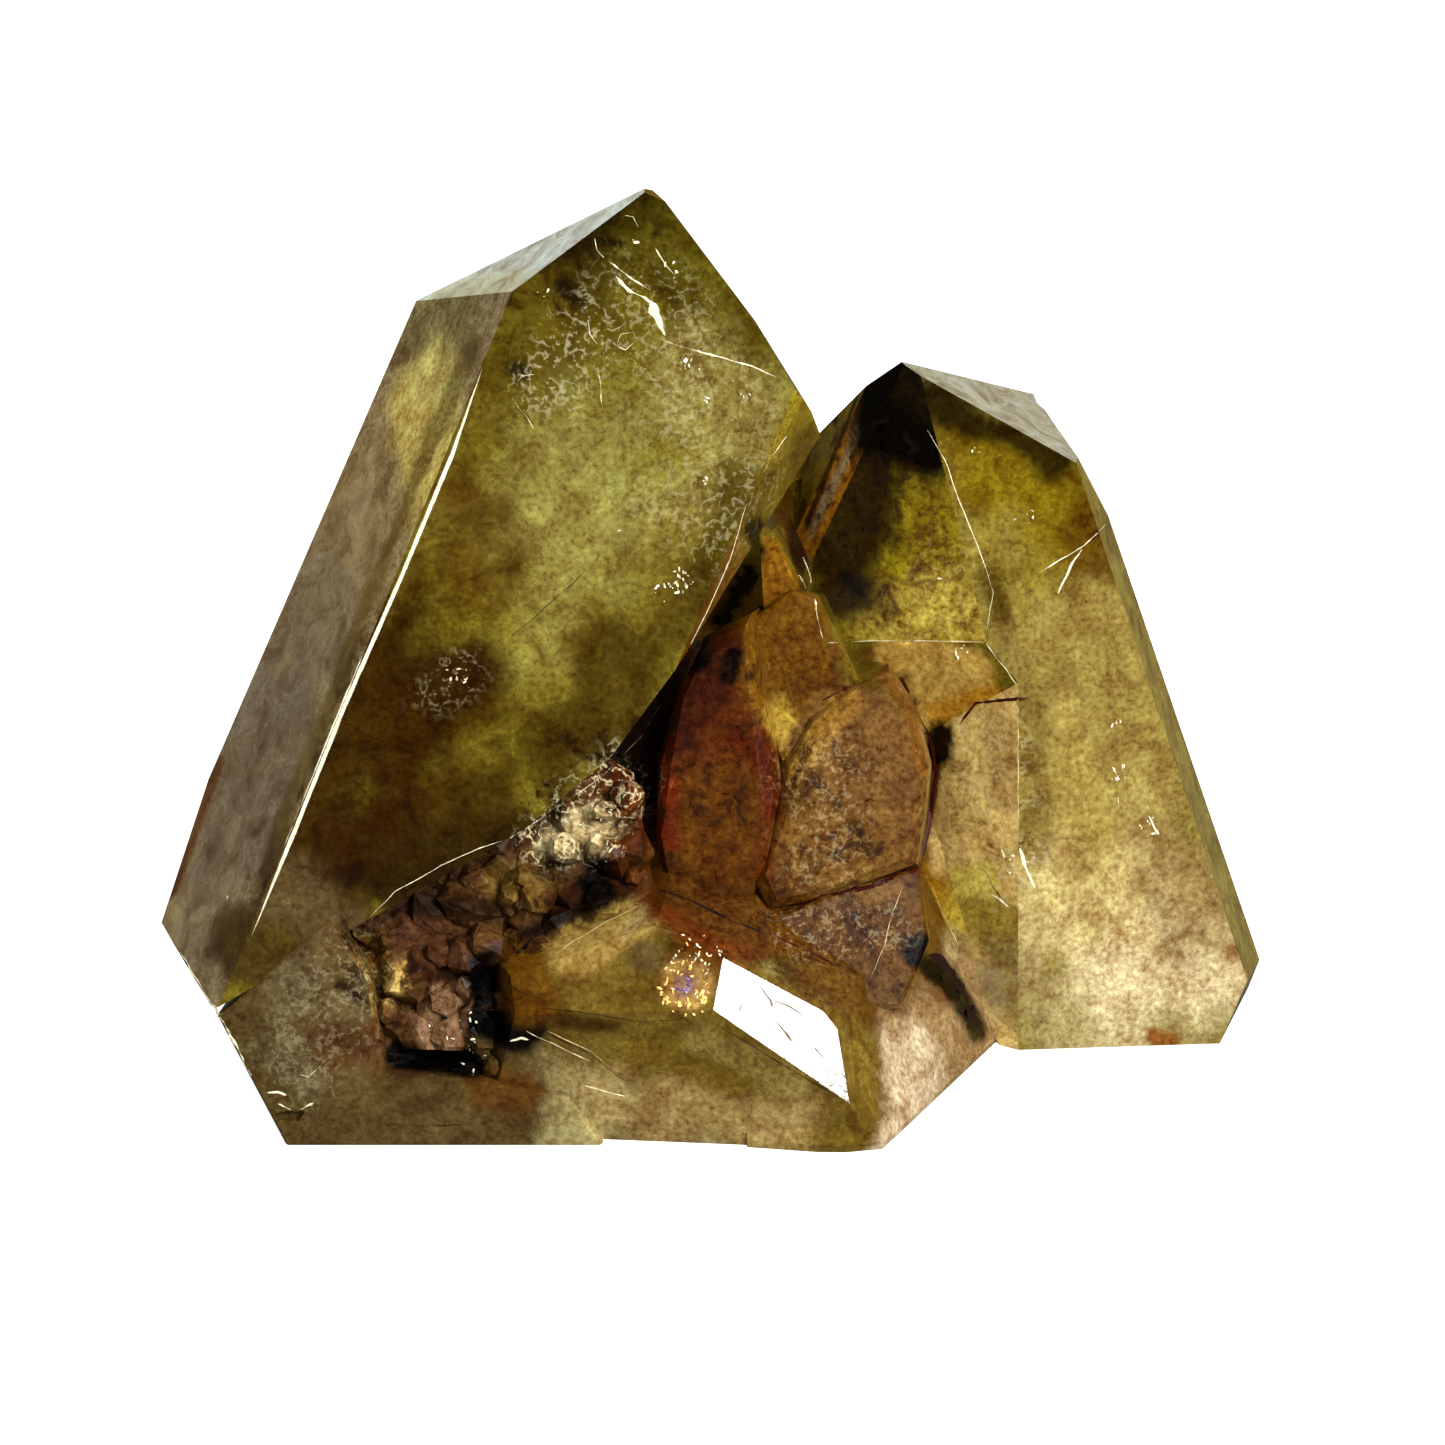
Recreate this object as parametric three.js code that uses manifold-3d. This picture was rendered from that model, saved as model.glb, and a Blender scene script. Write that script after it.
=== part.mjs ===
// A citrine cluster: two large quartz points, the blocky crystals wedged between them,
// a crystal lying across the front and the druse and matrix that they all grow from.
// Millimetres, +Z up, +X to the viewer's right, -Y towards the viewer.
// The cluster grew as one piece, so it is one solid. It stands on its flat cut base,
// and the origin is the middle of its bounding box at the base.

import * as THREE from "three";
import Module from "manifold-3d";
import { ConvexGeometry } from "three/addons/geometries/ConvexGeometry.js";
import { mergeVertices } from "three/addons/utils/BufferGeometryUtils.js";

const wasm = await Module();
wasm.setup();

// How deep each piece reaches below the level where the cluster is cut off flat
const BELOW_CUT = 2;
// Points closer than this are one corner
const SAME_CORNER = 0.02;
// Corners of triangles closer than this are one point
const SAME_POINT = 1e-4;
// Allowance for rounding where a point is tested against a plane
const ROUNDING = 1e-6;
// The block of ground that is taken away under the cluster: its side and its depth
const GROUND = [200, 20];

// A crystal is the space inside its faces. Its axis leans from the vertical by lean degrees
// towards heading (0 is +X, 90 is +Y). Each face is [turn, rise, out]: turn is its direction
// round the axis in degrees, 0 at the front and 90 on the right, rise is how far it tips
// towards the point of the crystal, and out is its distance from the centre.
const BIG_CRYSTAL = {
  centre: [-12, 6, 36],
  lean: 25,
  heading: 22.5,
  faces: {
    front: [-2, 0, 12],
    left: [-62, 0, 15],
    leftBack: [-122, 2.6, 15.2],
    leftChip: [-105, -6, 20.2],
    back: [178, 0, 12],
    right: [58, 0, 15],
    paleTop: [-72, 29, 22],
    rightTop: [114, 57.5, 21.2],
    rightTopLow: [85, 53.7, 24.1],
    backTop: [-140, 49, 19.5],
    rearTop: [172, 44, 14.5],
    bluntTip: [0, 72, 32.4],
    brokenEdgeHigh: [100, -13, 7.4],
    brokenEdgeMiddle: [101, -26, 8.3],
    brokenEdgeLow: [103, -35.5, 9.8],
    undercutLeft: [-69, -49, 36.4],
  },
};

const RIGHT_CRYSTAL = {
  centre: [26, 17, 26],
  lean: 20,
  heading: 162,
  faces: {
    front: [5.5, 0, 9.9],
    mottledLeft: [-30, 10.7, 10],
    left: [-80, 0, 14],
    lowerLeft: [-75, -3.5, 15.8],
    leftBack: [-130, 0, 11],
    back: [176, 0, 9],
    rightBack: [125, 2.6, 5.4],
    right: [78, 0.4, 9.1],
    shoulder: [94, 12, 10.3],
    paleTop: [76, 40, 17.8],
    leftTop: [-71, 37.5, 22.4],
    rearTop: [170, 58.5, 18.8],
    rearSlope: [178, 30, 13.8],
    footRight: [70, -38, 24.1],
  },
};

// The upper left half of the right-hand crystal, which ends in a ledge over the wedged ones
const UPPER_CRYSTAL = {
  centre: [26, 17, 26],
  lean: 20,
  heading: 162,
  faces: {
    front: [5.5, 0, 9.9],
    frontLeft: [-21, 2, 10.95],
    narrowBand: [-48, 25, 19.35],
    ledgeFace: [-24, -10, 9.5],
    leftTop: [-71, 37.5, 22.4],
    left: [-80, 0, 17],
    back: [176, 0, 8],
    right: [88, 0, 6],
    paleTop: [76, 40, 17.8],
    rearLeft: [-145, 69.5, 24.3],
    rearTop: [170, 58.5, 18.8],
    rearSlope: [178, 30, 13.8],
    under: [140, -71.5, -3.2],
  },
};

// The crystal that lies across the front of the cluster
const FRONT_CRYSTAL = {
  centre: [-4, -6, 8],
  lean: 0,
  heading: 0,
  faces: {
    glassy: [-8, 33, 7.2],
    mirror: [20, 27, 8.8],
    lowerFront: [-5, -4, 6.65],
    paleTop: [-50, 67.5, 8.15],
    glassyTop: [30, 66.5, 8.55],
    mirrorTop: [50, 51, 9.4],
    leftEnd: [-62, 10, 11.7],
    rightEnd: [62, 21, 13.5],
    rightCorner: [50, 38, 11.1],
    back: [180, 0, 12],
    below: [0, -90, 8 + BELOW_CUT],
  },
};

// Blunt crystals on the back of the cluster, which the viewer doesn't see
const REAR_CRYSTALS = [
  { foot: [2, 13, 0], lean: 9, heading: 100, radius: 8.2, height: 45, spin: 12, seed: 21 },
  { foot: [-15, 15, 0], lean: 21, heading: 122, radius: 6, height: 33, spin: 27, seed: 22 },
  { foot: [18, 19, 0], lean: 22, heading: 66, radius: 5.2, height: 29, spin: 5, seed: 23 },
  { foot: [-25, 11, 0], lean: 36, heading: 158, radius: 4.6, height: 21, spin: 41, seed: 24 },
];

// A block is a worn crystal seen face on: its front faces azimuth degrees right of the viewer and
// leans back by rise degrees, and its outline is measured in that face, across and up, from at.
const BLOCKS = {
  amber: {
    at: [6, 0, 33], azimuth: -5, rise: 15, depth: 12, round: 0.5,
    outline: [[-3.5, 2.5], [0, 5], [1.8, 4.6], [5, -1.5], [1.5, -6], [-0.5, -8], [-3, -3]],
  },
  splinter: {
    at: [5, 3, 39], azimuth: -10, rise: 5, depth: 8, round: 0.3,
    outline: [[-1.5, 3], [-0.5, 2.6], [1.6, -1.5], [1.5, -4], [-1, -4]],
  },
  mauve: {
    at: [11, -3.5, 24], azimuth: 5, rise: 12, depth: 15, round: 1.4,
    outline: [
      [-5.5, 2], [-3.5, 5.5], [0, 8], [2.5, 9], [4.5, 5.8], [5.6, 1.5],
      [5.2, -2.5], [4.5, -6], [-3, -8.5], [-7, -9], [-8, -7], [-7, -3.5],
    ],
  },
  cracked: {
    at: [11, -5, 13.5], azimuth: 10, rise: 20, depth: 14, round: 0.6,
    outline: [[-6.5, 1.5], [-2.5, 3], [5, 4.5], [5.5, -1], [3, -6], [-4, -6]],
  },
  russet: {
    at: [0.5, -4, 24], azimuth: -10, rise: 6, depth: 14, round: 1.3,
    outline: [
      [2, 13], [-1.5, 11], [-3, 8], [-4.6, 2], [-4.8, -4.5],
      [-3.5, -9], [2, -10], [4.2, -5.5], [4.6, 0], [3.6, 5],
    ],
  },
  matrix: {
    at: [-15, -7.5, 12.5], azimuth: 0, rise: 20, depth: 14, round: 0.8,
    outline: [
      [-16, 6], [-9, 12], [-3, 15.5], [5, 16], [9.5, 13.5], [11, 5],
      [10, -8], [-1.5, -12], [-9.5, -12], [-19, -5],
    ],
  },
  foot: {
    at: [-26, -11.6, 6.5], azimuth: 0, rise: 10, depth: 15, round: 0.4,
    outline: [[-9.5, 3], [-7.5, -0.5], [-3.6, -9], [3, -9], [2.6, 0], [1.6, 6], [-1.2, 10.4]],
  },
  sill: {
    at: [-26, -11.6, 6.5], azimuth: 0, rise: 10, depth: 13, round: 0.4,
    outline: [[0, -9], [20, -9], [16, -3], [9, -1.6], [0, -0.4]],
  },
};

// The low shelf under the right end of the front crystal, by its corners
const SHELF = [
  [2.8, -13.1, 0.6], [9.3, -14.1, 0.6], [12.7, -13.4, 0.6], [13.8, -11.1, 0.6], [22.3, 4.8, 0.4],
  [2.8, -13, -BELOW_CUT], [12.2, -13.2, -BELOW_CUT], [22, 5, -BELOW_CUT], [0, 6, -BELOW_CUT],
  [2.3, -5.5, 13.6], [10.2, -9.2, 9.3], [11, -12.4, 4.2], [13, -6, 7.6], [19, 1, 5.2],
  [4, 8, 12], [20, 8, 6],
];

// The broken root that holds the cluster together behind the crystals
const ROOT = [
  [-30.5, -10.5, -BELOW_CUT], [-8, -11, -BELOW_CUT], [2, -10, -BELOW_CUT], [34, 13, -BELOW_CUT],
  [37, 20, -BELOW_CUT], [12, 25, -BELOW_CUT], [-19, 23, -BELOW_CUT], [-33, 6, -BELOW_CUT],
  [-31, 4, 15], [-14, 4, 27], [-5, 8, 33], [8, 9, 23], [16, 15, 28], [29, 15, 13],
  [29, 20, 12], [2, 21, 19], [-20, 17, 20],
];

// Druse: small points strewn over the matrix between the big crystal and the front one.
// Each patch is given by its corners across and up, and its depth follows the matrix's front.
const DRUSE = {
  seed: 11,
  patches: [
    {
      count: 60,
      lowLeft: [-20, 8], lowRight: [-5, 17], highRight: [-5.5, 27], highLeft: [-25, 14],
    },
    {
      count: 26,
      lowLeft: [-23.5, 5.5], lowRight: [-15, 4.5], highRight: [-15, 11], highLeft: [-24.5, 13],
    },
  ],
  radius: [0.6, 1.7],
  height: [1.4, 3.4],
  lean: [25, 75],
  heading: [-155, -25],
  sunk: 0.5,
};

// Hollows broken out of the cluster: the dark pocket by the right-hand crystal, the slot
// behind the left end of the front crystal, and chips on the lower left edge
const HOLLOWS = [
  { at: [17.5, 0.5, 8.5], size: [2.8, 4.5, 2.4], seed: 3 },
  { at: [-14.6, -9.5, 7.8], size: [2.4, 3.2, 3], seed: 5 },
  { at: [-20.2, -10.8, 5.9], size: [3.8, 2.6, 1.2], seed: 6 },
  { at: [-30.3, -12.2, 2.4], size: [1.7, 1, 0.8], seed: 8 },
];
const HOLLOW_CORNERS = 16;

// A small six-sided point: how steep its end faces are, and how unevenly its faces grew
const POINT_SIDES = 6;
const POINT_RISE = 42;
const UNEVEN_SIDES = 0.28;
const UNEVEN_TOPS = 0.12;

// A worn block's rings from its front to its back, by how far each is pulled in and set back.
// Both are counted in roundings, and the last ring lies at the block's full depth.
const BLOCK_RINGS = [
  { inset: 1, back: 0 },
  { inset: 0.35, back: 0.5 },
  { inset: 0, back: 1.6 },
];

// The dice multiply by one whole number and keep the rest of a division by another
const DICE_STEP = 16807;
const DICE_SIDES = 2147483647;

const CITRINE = new THREE.MeshStandardMaterial({
  name: "citrine",
  color: 0x8a7a2c,
  roughness: 0.15,
  metalness: 0,
});

const radians = THREE.MathUtils.degToRad;

function vector([x, y, z]) {
  return new THREE.Vector3(x, y, z);
}

// The same run of numbers each time, from 0 to 1
function dice(seed) {
  let state = seed;
  return () => {
    state = (state * DICE_STEP) % DICE_SIDES;
    return state / DICE_SIDES;
  };
}

// Directions of a crystal's front, right side and axis
function crystalFrame(lean, heading) {
  const tip = new THREE.Vector3(
    Math.sin(radians(lean)) * Math.cos(radians(heading)),
    Math.sin(radians(lean)) * Math.sin(radians(heading)),
    Math.cos(radians(lean)),
  );
  const turn = new THREE.Quaternion().setFromUnitVectors(new THREE.Vector3(0, 0, 1), tip);
  const front = new THREE.Vector3(0, -1, 0).applyQuaternion(turn);
  const right = new THREE.Vector3(1, 0, 0).applyQuaternion(turn);
  return { front, right, tip };
}

function facePlane(centre, frame, [turn, rise, out]) {
  const normal = new THREE.Vector3()
    .addScaledVector(frame.front, Math.cos(radians(turn)) * Math.cos(radians(rise)))
    .addScaledVector(frame.right, Math.sin(radians(turn)) * Math.cos(radians(rise)))
    .addScaledVector(frame.tip, Math.sin(radians(rise)));
  return { normal, reach: normal.dot(centre) + out };
}

// The point that three planes share, or null where two of them run side by side
function meetingPoint(a, b, c) {
  const across = new THREE.Vector3().crossVectors(b.normal, c.normal);
  const volume = a.normal.dot(across);
  if (Math.abs(volume) < ROUNDING) {
    return null;
  }
  return across
    .multiplyScalar(a.reach)
    .addScaledVector(new THREE.Vector3().crossVectors(c.normal, a.normal), b.reach)
    .addScaledVector(new THREE.Vector3().crossVectors(a.normal, b.normal), c.reach)
    .divideScalar(volume);
}

function cornersInside(planes) {
  const corners = [];
  for (let i = 0; i < planes.length; i += 1) {
    for (let j = i + 1; j < planes.length; j += 1) {
      for (let k = j + 1; k < planes.length; k += 1) {
        const point = meetingPoint(planes[i], planes[j], planes[k]);
        const kept = point && planes.every((plane) => plane.normal.dot(point) < plane.reach + ROUNDING);
        if (kept && corners.every((corner) => corner.distanceTo(point) > SAME_CORNER)) {
          corners.push(point);
        }
      }
    }
  }
  return corners;
}

function solidFrom(geometry) {
  const bare = geometry.clone();
  bare.deleteAttribute("normal");
  bare.deleteAttribute("uv");
  const merged = mergeVertices(bare, SAME_POINT);
  return new wasm.Manifold(new wasm.Mesh({
    numProp: 3,
    vertProperties: new Float32Array(merged.attributes.position.array),
    triVerts: new Uint32Array(merged.index.array),
  }));
}

function hull(corners) {
  return solidFrom(new ConvexGeometry(corners));
}

function crystal({ centre, lean, heading, faces }) {
  const frame = crystalFrame(lean, heading);
  const middle = vector(centre);
  const planes = Object.values(faces).map((face) => facePlane(middle, frame, face));
  planes.push({ normal: new THREE.Vector3(0, 0, -1), reach: BELOW_CUT });
  return hull(cornersInside(planes));
}

// A six-sided point that stands on its foot, with its faces pushed in or out unevenly
function point({ foot, lean, heading, radius, height, spin, seed }) {
  const roll = dice(seed);
  const faces = { below: [0, -90, radius] };
  for (let side = 0; side < POINT_SIDES; side += 1) {
    const turn = spin + side * 360 / POINT_SIDES;
    const tip = height * Math.sin(radians(POINT_RISE));
    faces[`side${side}`] = [turn, 0, radius * (1 - UNEVEN_SIDES * roll())];
    faces[`top${side}`] = [turn, POINT_RISE, tip * (1 + UNEVEN_TOPS * roll())];
  }
  const frame = crystalFrame(lean, heading);
  const planes = Object.values(faces).map((face) => facePlane(vector(foot), frame, face));
  return hull(cornersInside(planes));
}

// A block is the hull of its rings, each the outline pulled in towards its middle
function block({ at, azimuth, rise, outline, depth, round }) {
  const across = new THREE.Vector3(Math.cos(radians(azimuth)), Math.sin(radians(azimuth)), 0);
  const outward = new THREE.Vector3(
    Math.sin(radians(azimuth)) * Math.cos(radians(rise)),
    -Math.cos(radians(azimuth)) * Math.cos(radians(rise)),
    Math.sin(radians(rise)),
  );
  const up = new THREE.Vector3().crossVectors(outward, across);
  const middle = outline.reduce((sum, [u, v]) => [sum[0] + u, sum[1] + v], [0, 0])
    .map((total) => total / outline.length);
  const rings = BLOCK_RINGS.map(({ inset, back }) => ({ inset: inset * round, back: back * round }));
  rings.push({ inset: round, back: depth });
  const corners = [];
  for (const { inset, back } of rings) {
    for (const [u, v] of outline) {
      const reach = Math.hypot(u - middle[0], v - middle[1]);
      const shrink = 1 - inset / reach;
      corners.push(vector(at)
        .addScaledVector(across, middle[0] + (u - middle[0]) * shrink)
        .addScaledVector(up, middle[1] + (v - middle[1]) * shrink)
        .addScaledVector(outward, -back));
    }
  }
  return hull(corners);
}

// Small points on the druse's patches, each leaning its own way towards the viewer
function druse({ seed, patches, radius, height, lean, heading, sunk }) {
  const roll = dice(seed);
  const { at: [, matrixY, matrixZ], rise } = BLOCKS.matrix;
  const mix = THREE.MathUtils.lerp;
  const points = [];
  for (const patch of patches) {
    for (let i = 0; i < patch.count; i += 1) {
      const across = roll();
      const up = roll();
      const [x, z] = [0, 1].map((axis) => mix(
        mix(patch.lowLeft[axis], patch.lowRight[axis], across),
        mix(patch.highLeft[axis], patch.highRight[axis], across),
        up,
      ));
      const y = matrixY + (z - matrixZ) * Math.tan(radians(rise)) + sunk;
      points.push(point({
        foot: [x, y, z],
        lean: mix(...lean, roll()),
        heading: mix(...heading, roll()),
        radius: mix(...radius, roll()),
        height: mix(...height, roll()),
        spin: roll() * 360 / POINT_SIDES,
        seed: seed + points.length + 1,
      }));
    }
  }
  return points;
}

// An uneven hollow: the hull of points thrown on an ellipsoid
function hollow({ at, size, seed }) {
  const roll = dice(seed);
  const corners = [];
  for (let i = 0; i < HOLLOW_CORNERS; i += 1) {
    const angle = 2 * Math.PI * roll();
    const height = 2 * roll() - 1;
    const ring = Math.sqrt(1 - height * height);
    corners.push(new THREE.Vector3(
      at[0] + size[0] * ring * Math.cos(angle),
      at[1] + size[1] * ring * Math.sin(angle),
      at[2] + size[2] * height,
    ));
  }
  return hull(corners);
}

function joined(solids) {
  return solids.reduce((all, solid) => all.add(solid));
}

// Everything under the level of the base is cut off flat
function cutFlat(solid) {
  const [side, depth] = GROUND;
  const ground = new THREE.BoxGeometry(side, side, depth);
  ground.translate(0, 0, -depth / 2);
  return solid.subtract(solidFrom(ground));
}

// The triangles of the largest connected skin: pockets sealed inside the cluster are filled,
// and a crumb that touches nothing is dropped
function outerSkin(triangles, pointCount) {
  const leader = Array.from({ length: pointCount }, (_, index) => index);
  const follow = (index) => {
    let top = index;
    while (leader[top] !== top) {
      leader[top] = leader[leader[top]];
      top = leader[top];
    }
    return top;
  };
  for (let i = 0; i < triangles.length; i += 3) {
    leader[follow(triangles[i])] = follow(triangles[i + 1]);
    leader[follow(triangles[i + 1])] = follow(triangles[i + 2]);
  }
  const sizes = new Map();
  for (const corner of triangles) {
    sizes.set(follow(corner), (sizes.get(follow(corner)) ?? 0) + 1);
  }
  const [largest] = [...sizes.entries()].sort((a, b) => b[1] - a[1])[0];
  return Array.from(triangles).filter((_, i) => follow(triangles[i - (i % 3)]) === largest);
}

function geometryOf(solid) {
  const mesh = solid.getMesh();
  const geometry = new THREE.BufferGeometry();
  geometry.setAttribute("position", new THREE.BufferAttribute(new Float32Array(mesh.vertProperties), 3));
  geometry.setIndex(outerSkin(mesh.triVerts, mesh.vertProperties.length / 3));
  const flat = geometry.toNonIndexed();
  flat.computeBoundingBox();
  const { min, max } = flat.boundingBox;
  flat.translate(-(min.x + max.x) / 2, -(min.y + max.y) / 2, -min.z);
  flat.computeVertexNormals();
  return flat;
}

function cluster() {
  const grown = joined([
    hull(ROOT.map(vector)),
    crystal(BIG_CRYSTAL),
    crystal(RIGHT_CRYSTAL),
    crystal(UPPER_CRYSTAL),
    ...REAR_CRYSTALS.map(point),
    ...Object.values(BLOCKS).map(block),
    hull(SHELF.map(vector)),
    ...druse(DRUSE),
  ]);
  const opened = HOLLOWS.map(hollow).reduce((rest, gap) => rest.subtract(gap), grown);
  const whole = cutFlat(opened.add(crystal(FRONT_CRYSTAL)));
  const mesh = new THREE.Mesh(geometryOf(whole), CITRINE);
  mesh.name = "citrine_cluster";
  return mesh;
}

const part = new THREE.Group();
part.add(cluster());

export default part;
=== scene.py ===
"""A smoky olive-yellow citrine cluster.

Large clear points stand with stained blocks between them and a low crystal across the front.
"""

import math
from collections import namedtuple

import bmesh
import bpy
import numpy as np
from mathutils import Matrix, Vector, noise
from mathutils.bvhtree import BVHTree


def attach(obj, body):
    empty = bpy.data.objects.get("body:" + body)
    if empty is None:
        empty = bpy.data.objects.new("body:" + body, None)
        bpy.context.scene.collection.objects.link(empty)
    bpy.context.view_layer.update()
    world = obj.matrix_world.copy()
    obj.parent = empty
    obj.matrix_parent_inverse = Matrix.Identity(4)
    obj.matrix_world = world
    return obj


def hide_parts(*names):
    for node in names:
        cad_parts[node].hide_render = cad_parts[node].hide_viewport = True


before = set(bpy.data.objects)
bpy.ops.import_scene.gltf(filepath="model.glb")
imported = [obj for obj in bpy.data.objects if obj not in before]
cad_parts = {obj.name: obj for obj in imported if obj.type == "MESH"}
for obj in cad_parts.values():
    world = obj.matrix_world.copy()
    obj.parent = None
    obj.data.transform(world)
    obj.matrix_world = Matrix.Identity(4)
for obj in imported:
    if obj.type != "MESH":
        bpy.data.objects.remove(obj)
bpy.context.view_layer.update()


def rows(kind, *values):
    """One named row for each group of values."""
    return [kind(*row) for row in values]


MM = 0.001
# Keeps a division by a length safe
TINY = 1e-18
# How far apart the nodes of a tree are drawn
NODE_SPACING = 200

# The photograph's viewpoint: a small camera held a quarter of a metre away, looking down a little
CAMERA_DISTANCE = 250 * MM
CAMERA_ELEVATION = math.radians(20)
CAMERA_LENS = 85
CAMERA_SENSOR = 36
CAMERA_NEAREST = 10 * MM
CAMERA_TARGET = Vector((-0.162, -9.218, 28.0)) * MM
PHOTO_SIZE = 1445

# The studio is brighter behind the cluster and above it: from which to which share of the view's
# Y or Z its light grows, and how strong it is at either end
STUDIO_COLOUR = (1, 0.99, 0.97, 1)
STUDIO_BEHIND = ((-0.6, 0.7), (0.08, 0.75))
STUDIO_ABOVE = ((0.2, 1), (0, 0.7))

# Soft lamps: the side that they stand on, how far off and how large, in metres, how bright they
# are, whether the stone mirrors them, and the place that they face, in mm
Lamp = namedtuple("Lamp", "name towards distance size radiance mirrored aim",
                  defaults=(False, (0, 0, 30)))
LAMPS = rows(
    Lamp,
    ("overhead_panel", (-0.3, 0.2, 1), 0.7, (0.6, 0.6), 2.5),
    ("mirror_panel", (0.574, -0.637, 0.513), 0.5, (0.125, 0.125), 68, True, (3, -22, 9)),
    ("left_panel", (-1, 0.3, 0.35), 0.6, (0.4, 0.5), 0.6),
    ("viewer_panel", (0.45, -0.5, 0.8), 0.8, (0.5, 0.5), 5.0),
)

# The floor is a disc that fills the view, just below the cluster
FLOOR_RADIUS = 3.0
FLOOR_SIDES = 64
FLOOR_GAP = 0.01 * MM
FLOOR_COLOUR = (0.45, 0.45, 0.44, 1)
FLOOR_ROUGHNESS = 0.7
FLOOR_GLOSS = 0.2
# How much brighter the floor is to the camera than to the stone, whose surroundings were dimmer
FLOOR_GLOW = 0.85
WHITE = (1, 1, 1, 1)
BLACK = (0, 0, 0, 1)

# How much of the studio the stone mirrors: the photograph hardly shows any of it
MIRRORED_SHARE = 0.08

# Quartz
QUARTZ_IOR = 1.544
GLOSS_LEVEL = 0.12
DEPTH_COLOUR = (0.8, 0.7, 0.38, 1)
DEPTH_DENSITY = 40.0

# The grain: noise stays near its middle, so it is stretched; dark grains are warmer than pale
# ones, and none is darker than this share of the stone's colour
GRAIN_STRETCH = 5
GRAIN_TINT = (0.75, 1, 1.2)
GRAIN_DARKEST = (0.08, 0.05, 0.04)
GRAIN_ROUGHNESS = 0.68
GRAIN_DETAIL = 2
CLUMP_DETAIL = 5
CLUMP_SWIRL = 0.7

# Pale threads and flecks, and dark pits: from which to which height of the grain they show
THREAD_DETAIL = 2
THREAD_ROUGHNESS = 0.65
THREAD_WIDTH = 0.042
THREAD_BREAKS = (0.4, 0.52)
FLECK_RANGE = (0.6, 0.7)
PIT_RANGE = (0.46, 0.36)
VEIL_COLOUR = (0.7, 0.62, 0.34, 1)
PIT_COLOUR = (0.016, 0.006, 0.002, 1)

# Stone is duller where its grain is higher. A finish says how clear it is, how dull it is in low
# and in high grain, how strong and how deep its relief is, and the sizes and depths of its grain
DULL_RANGE = (0.3, 0.7)
Finish = namedtuple("Finish", "name clear dull relief relief_depth grain")
CLEAR_STONE = Finish("citrine", 0.5, (0.02, 0.16), 0.25, 0.02 * MM, {
    "Grain Size": 0.4 * MM, "Grain Depth": 0.46, "Clump Size": 2.8 * MM, "Clump Depth": 0.62,
    "Thread Size": 1.9 * MM})
STAINED_AND_SHADED_STONE = Finish("stained_and_shaded_quartz", 0, (0.25, 0.5), 0.5, 0.06 * MM, {
    "Grain Size": 0.45 * MM, "Grain Depth": 0.6, "Clump Size": 1.8 * MM, "Clump Depth": 0.7,
    "Thread Size": 1.5 * MM})

# What fills the cracks, seams and flakes, some of which paint highlights, glints and shade: its colour in
# hundredths, roughness and depth of grain
FILLINGS = {
    "healed_crack_and_highlight": ((90, 87, 73), 0.35, 0.4),
    "rust_and_shade_seam": ((20, 5, 2), 0.45, 0.4),
    "dark_crease": ((10, 4, 2), 0.6, 0.4),
    "beige_seam_and_highlight": ((76, 66, 46), 0.4, 0.4),
    "mirror_crack": ((40, 33, 22), 0.5, 0.4),
    "gold_glint": ((95, 78, 45), 0.25, 0.3),
    "violet_glint": ((42, 32, 52), 0.25, 0.5),
}
FILLING_GRAIN = 0.2 * MM
FILLING_CLUMP = 0.8 * MM

# The solid's triangles are joined again: points this near each other, and faces that turn by less
WELD_GAP = 0.004 * MM
FLAT_ANGLE = math.radians(1.5)
# How far the worn edges of the crystals are rounded, and how sharp an edge has to be to show wear
EDGE_WEAR = 0.13 * MM
SHARP_ANGLE = math.radians(16)

# Faces within this angle of each other, and joined, are one crystal face
FACET_SPREAD = math.radians(7)

# The colour of the stone is painted on a fine mesh, finer where the photograph looks at it
FINE_STEP = 1.0 * MM
COARSE_STEP = 2.2 * MM
DETAIL_STEP = 0.62 * MM
# The blocks, the druse and the front crystal are the detailed part: its middle, and its reach
DETAIL_MIDDLE = Vector((0, -16, 18)) * MM
DETAIL_REACH = Vector((24, 14, 21)) * MM

# A crack's filling stands this proud of the stone and reaches this deep into it, less at its ends.
# It is drawn in steps of this many pixels of the photograph, and a longer gap parts it in two
CRACK_PROUD = 0.02 * MM
CRACK_DEPTH = 0.2 * MM
CRACK_END_DEPTH = CRACK_DEPTH / 4
CRACK_STEP = 3
CRACK_GAP = 1.5 * MM
# It wanders by this many pixels, in waves this long
CRACK_WANDER = 2
CRACK_WAVE = 17
# It swells and narrows in waves of these sizes and shares, tapers at its ends, and is never
# thinner than this share of its width
CRACK_SWELLS = ((1.7 * MM, 1), (0.5 * MM, 0.7))
CRACK_SWELL = 1.1
CRACK_NARROWING = 0.45
CRACK_TAPER = 6
CRACK_THINNEST = 0.12

# Flakes are slivers this broad beside their length, and the smallest are this share of the largest
FLAKE_BREADTH = 0.45
FLAKE_SMALLEST = 0.2

# Light is lost in the clear stone, so its painted colours are brighter than they look, and what it
# mirrors makes it greyer, so they are less blue
PAINT_GAIN = (1.13, 1.13, 0.92)
STAIN_AND_SHADE_GAIN = (0.68, 0.68, 0.5)
PAINT_LIMIT = 0.92
# A crystal face is opaque where stained patches, and the patches of painted shade in gaps and hollows, cover
# more than this share of it
STAINED_AND_SHADED_SHARE = 0.5

# A patch that spreads through the stone reaches this much farther along the line of sight
SIGHT_STRETCH = 2.6
# A patch that stays on its faces also covers the worn edges this near its middle line
EDGE_REACH = 2 * MM

# The borders of patches fray in waves of this size and less, with this much of their fade
SWAY_WAVE = 6 * MM
SWAY_SHIFT = Vector((7, 3, 5))
SWAY_HEIGHT = 1.6
SWAY_FINENESS = (0.7, 2.1, 4)
SWAY_SHARE = 0.4

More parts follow.
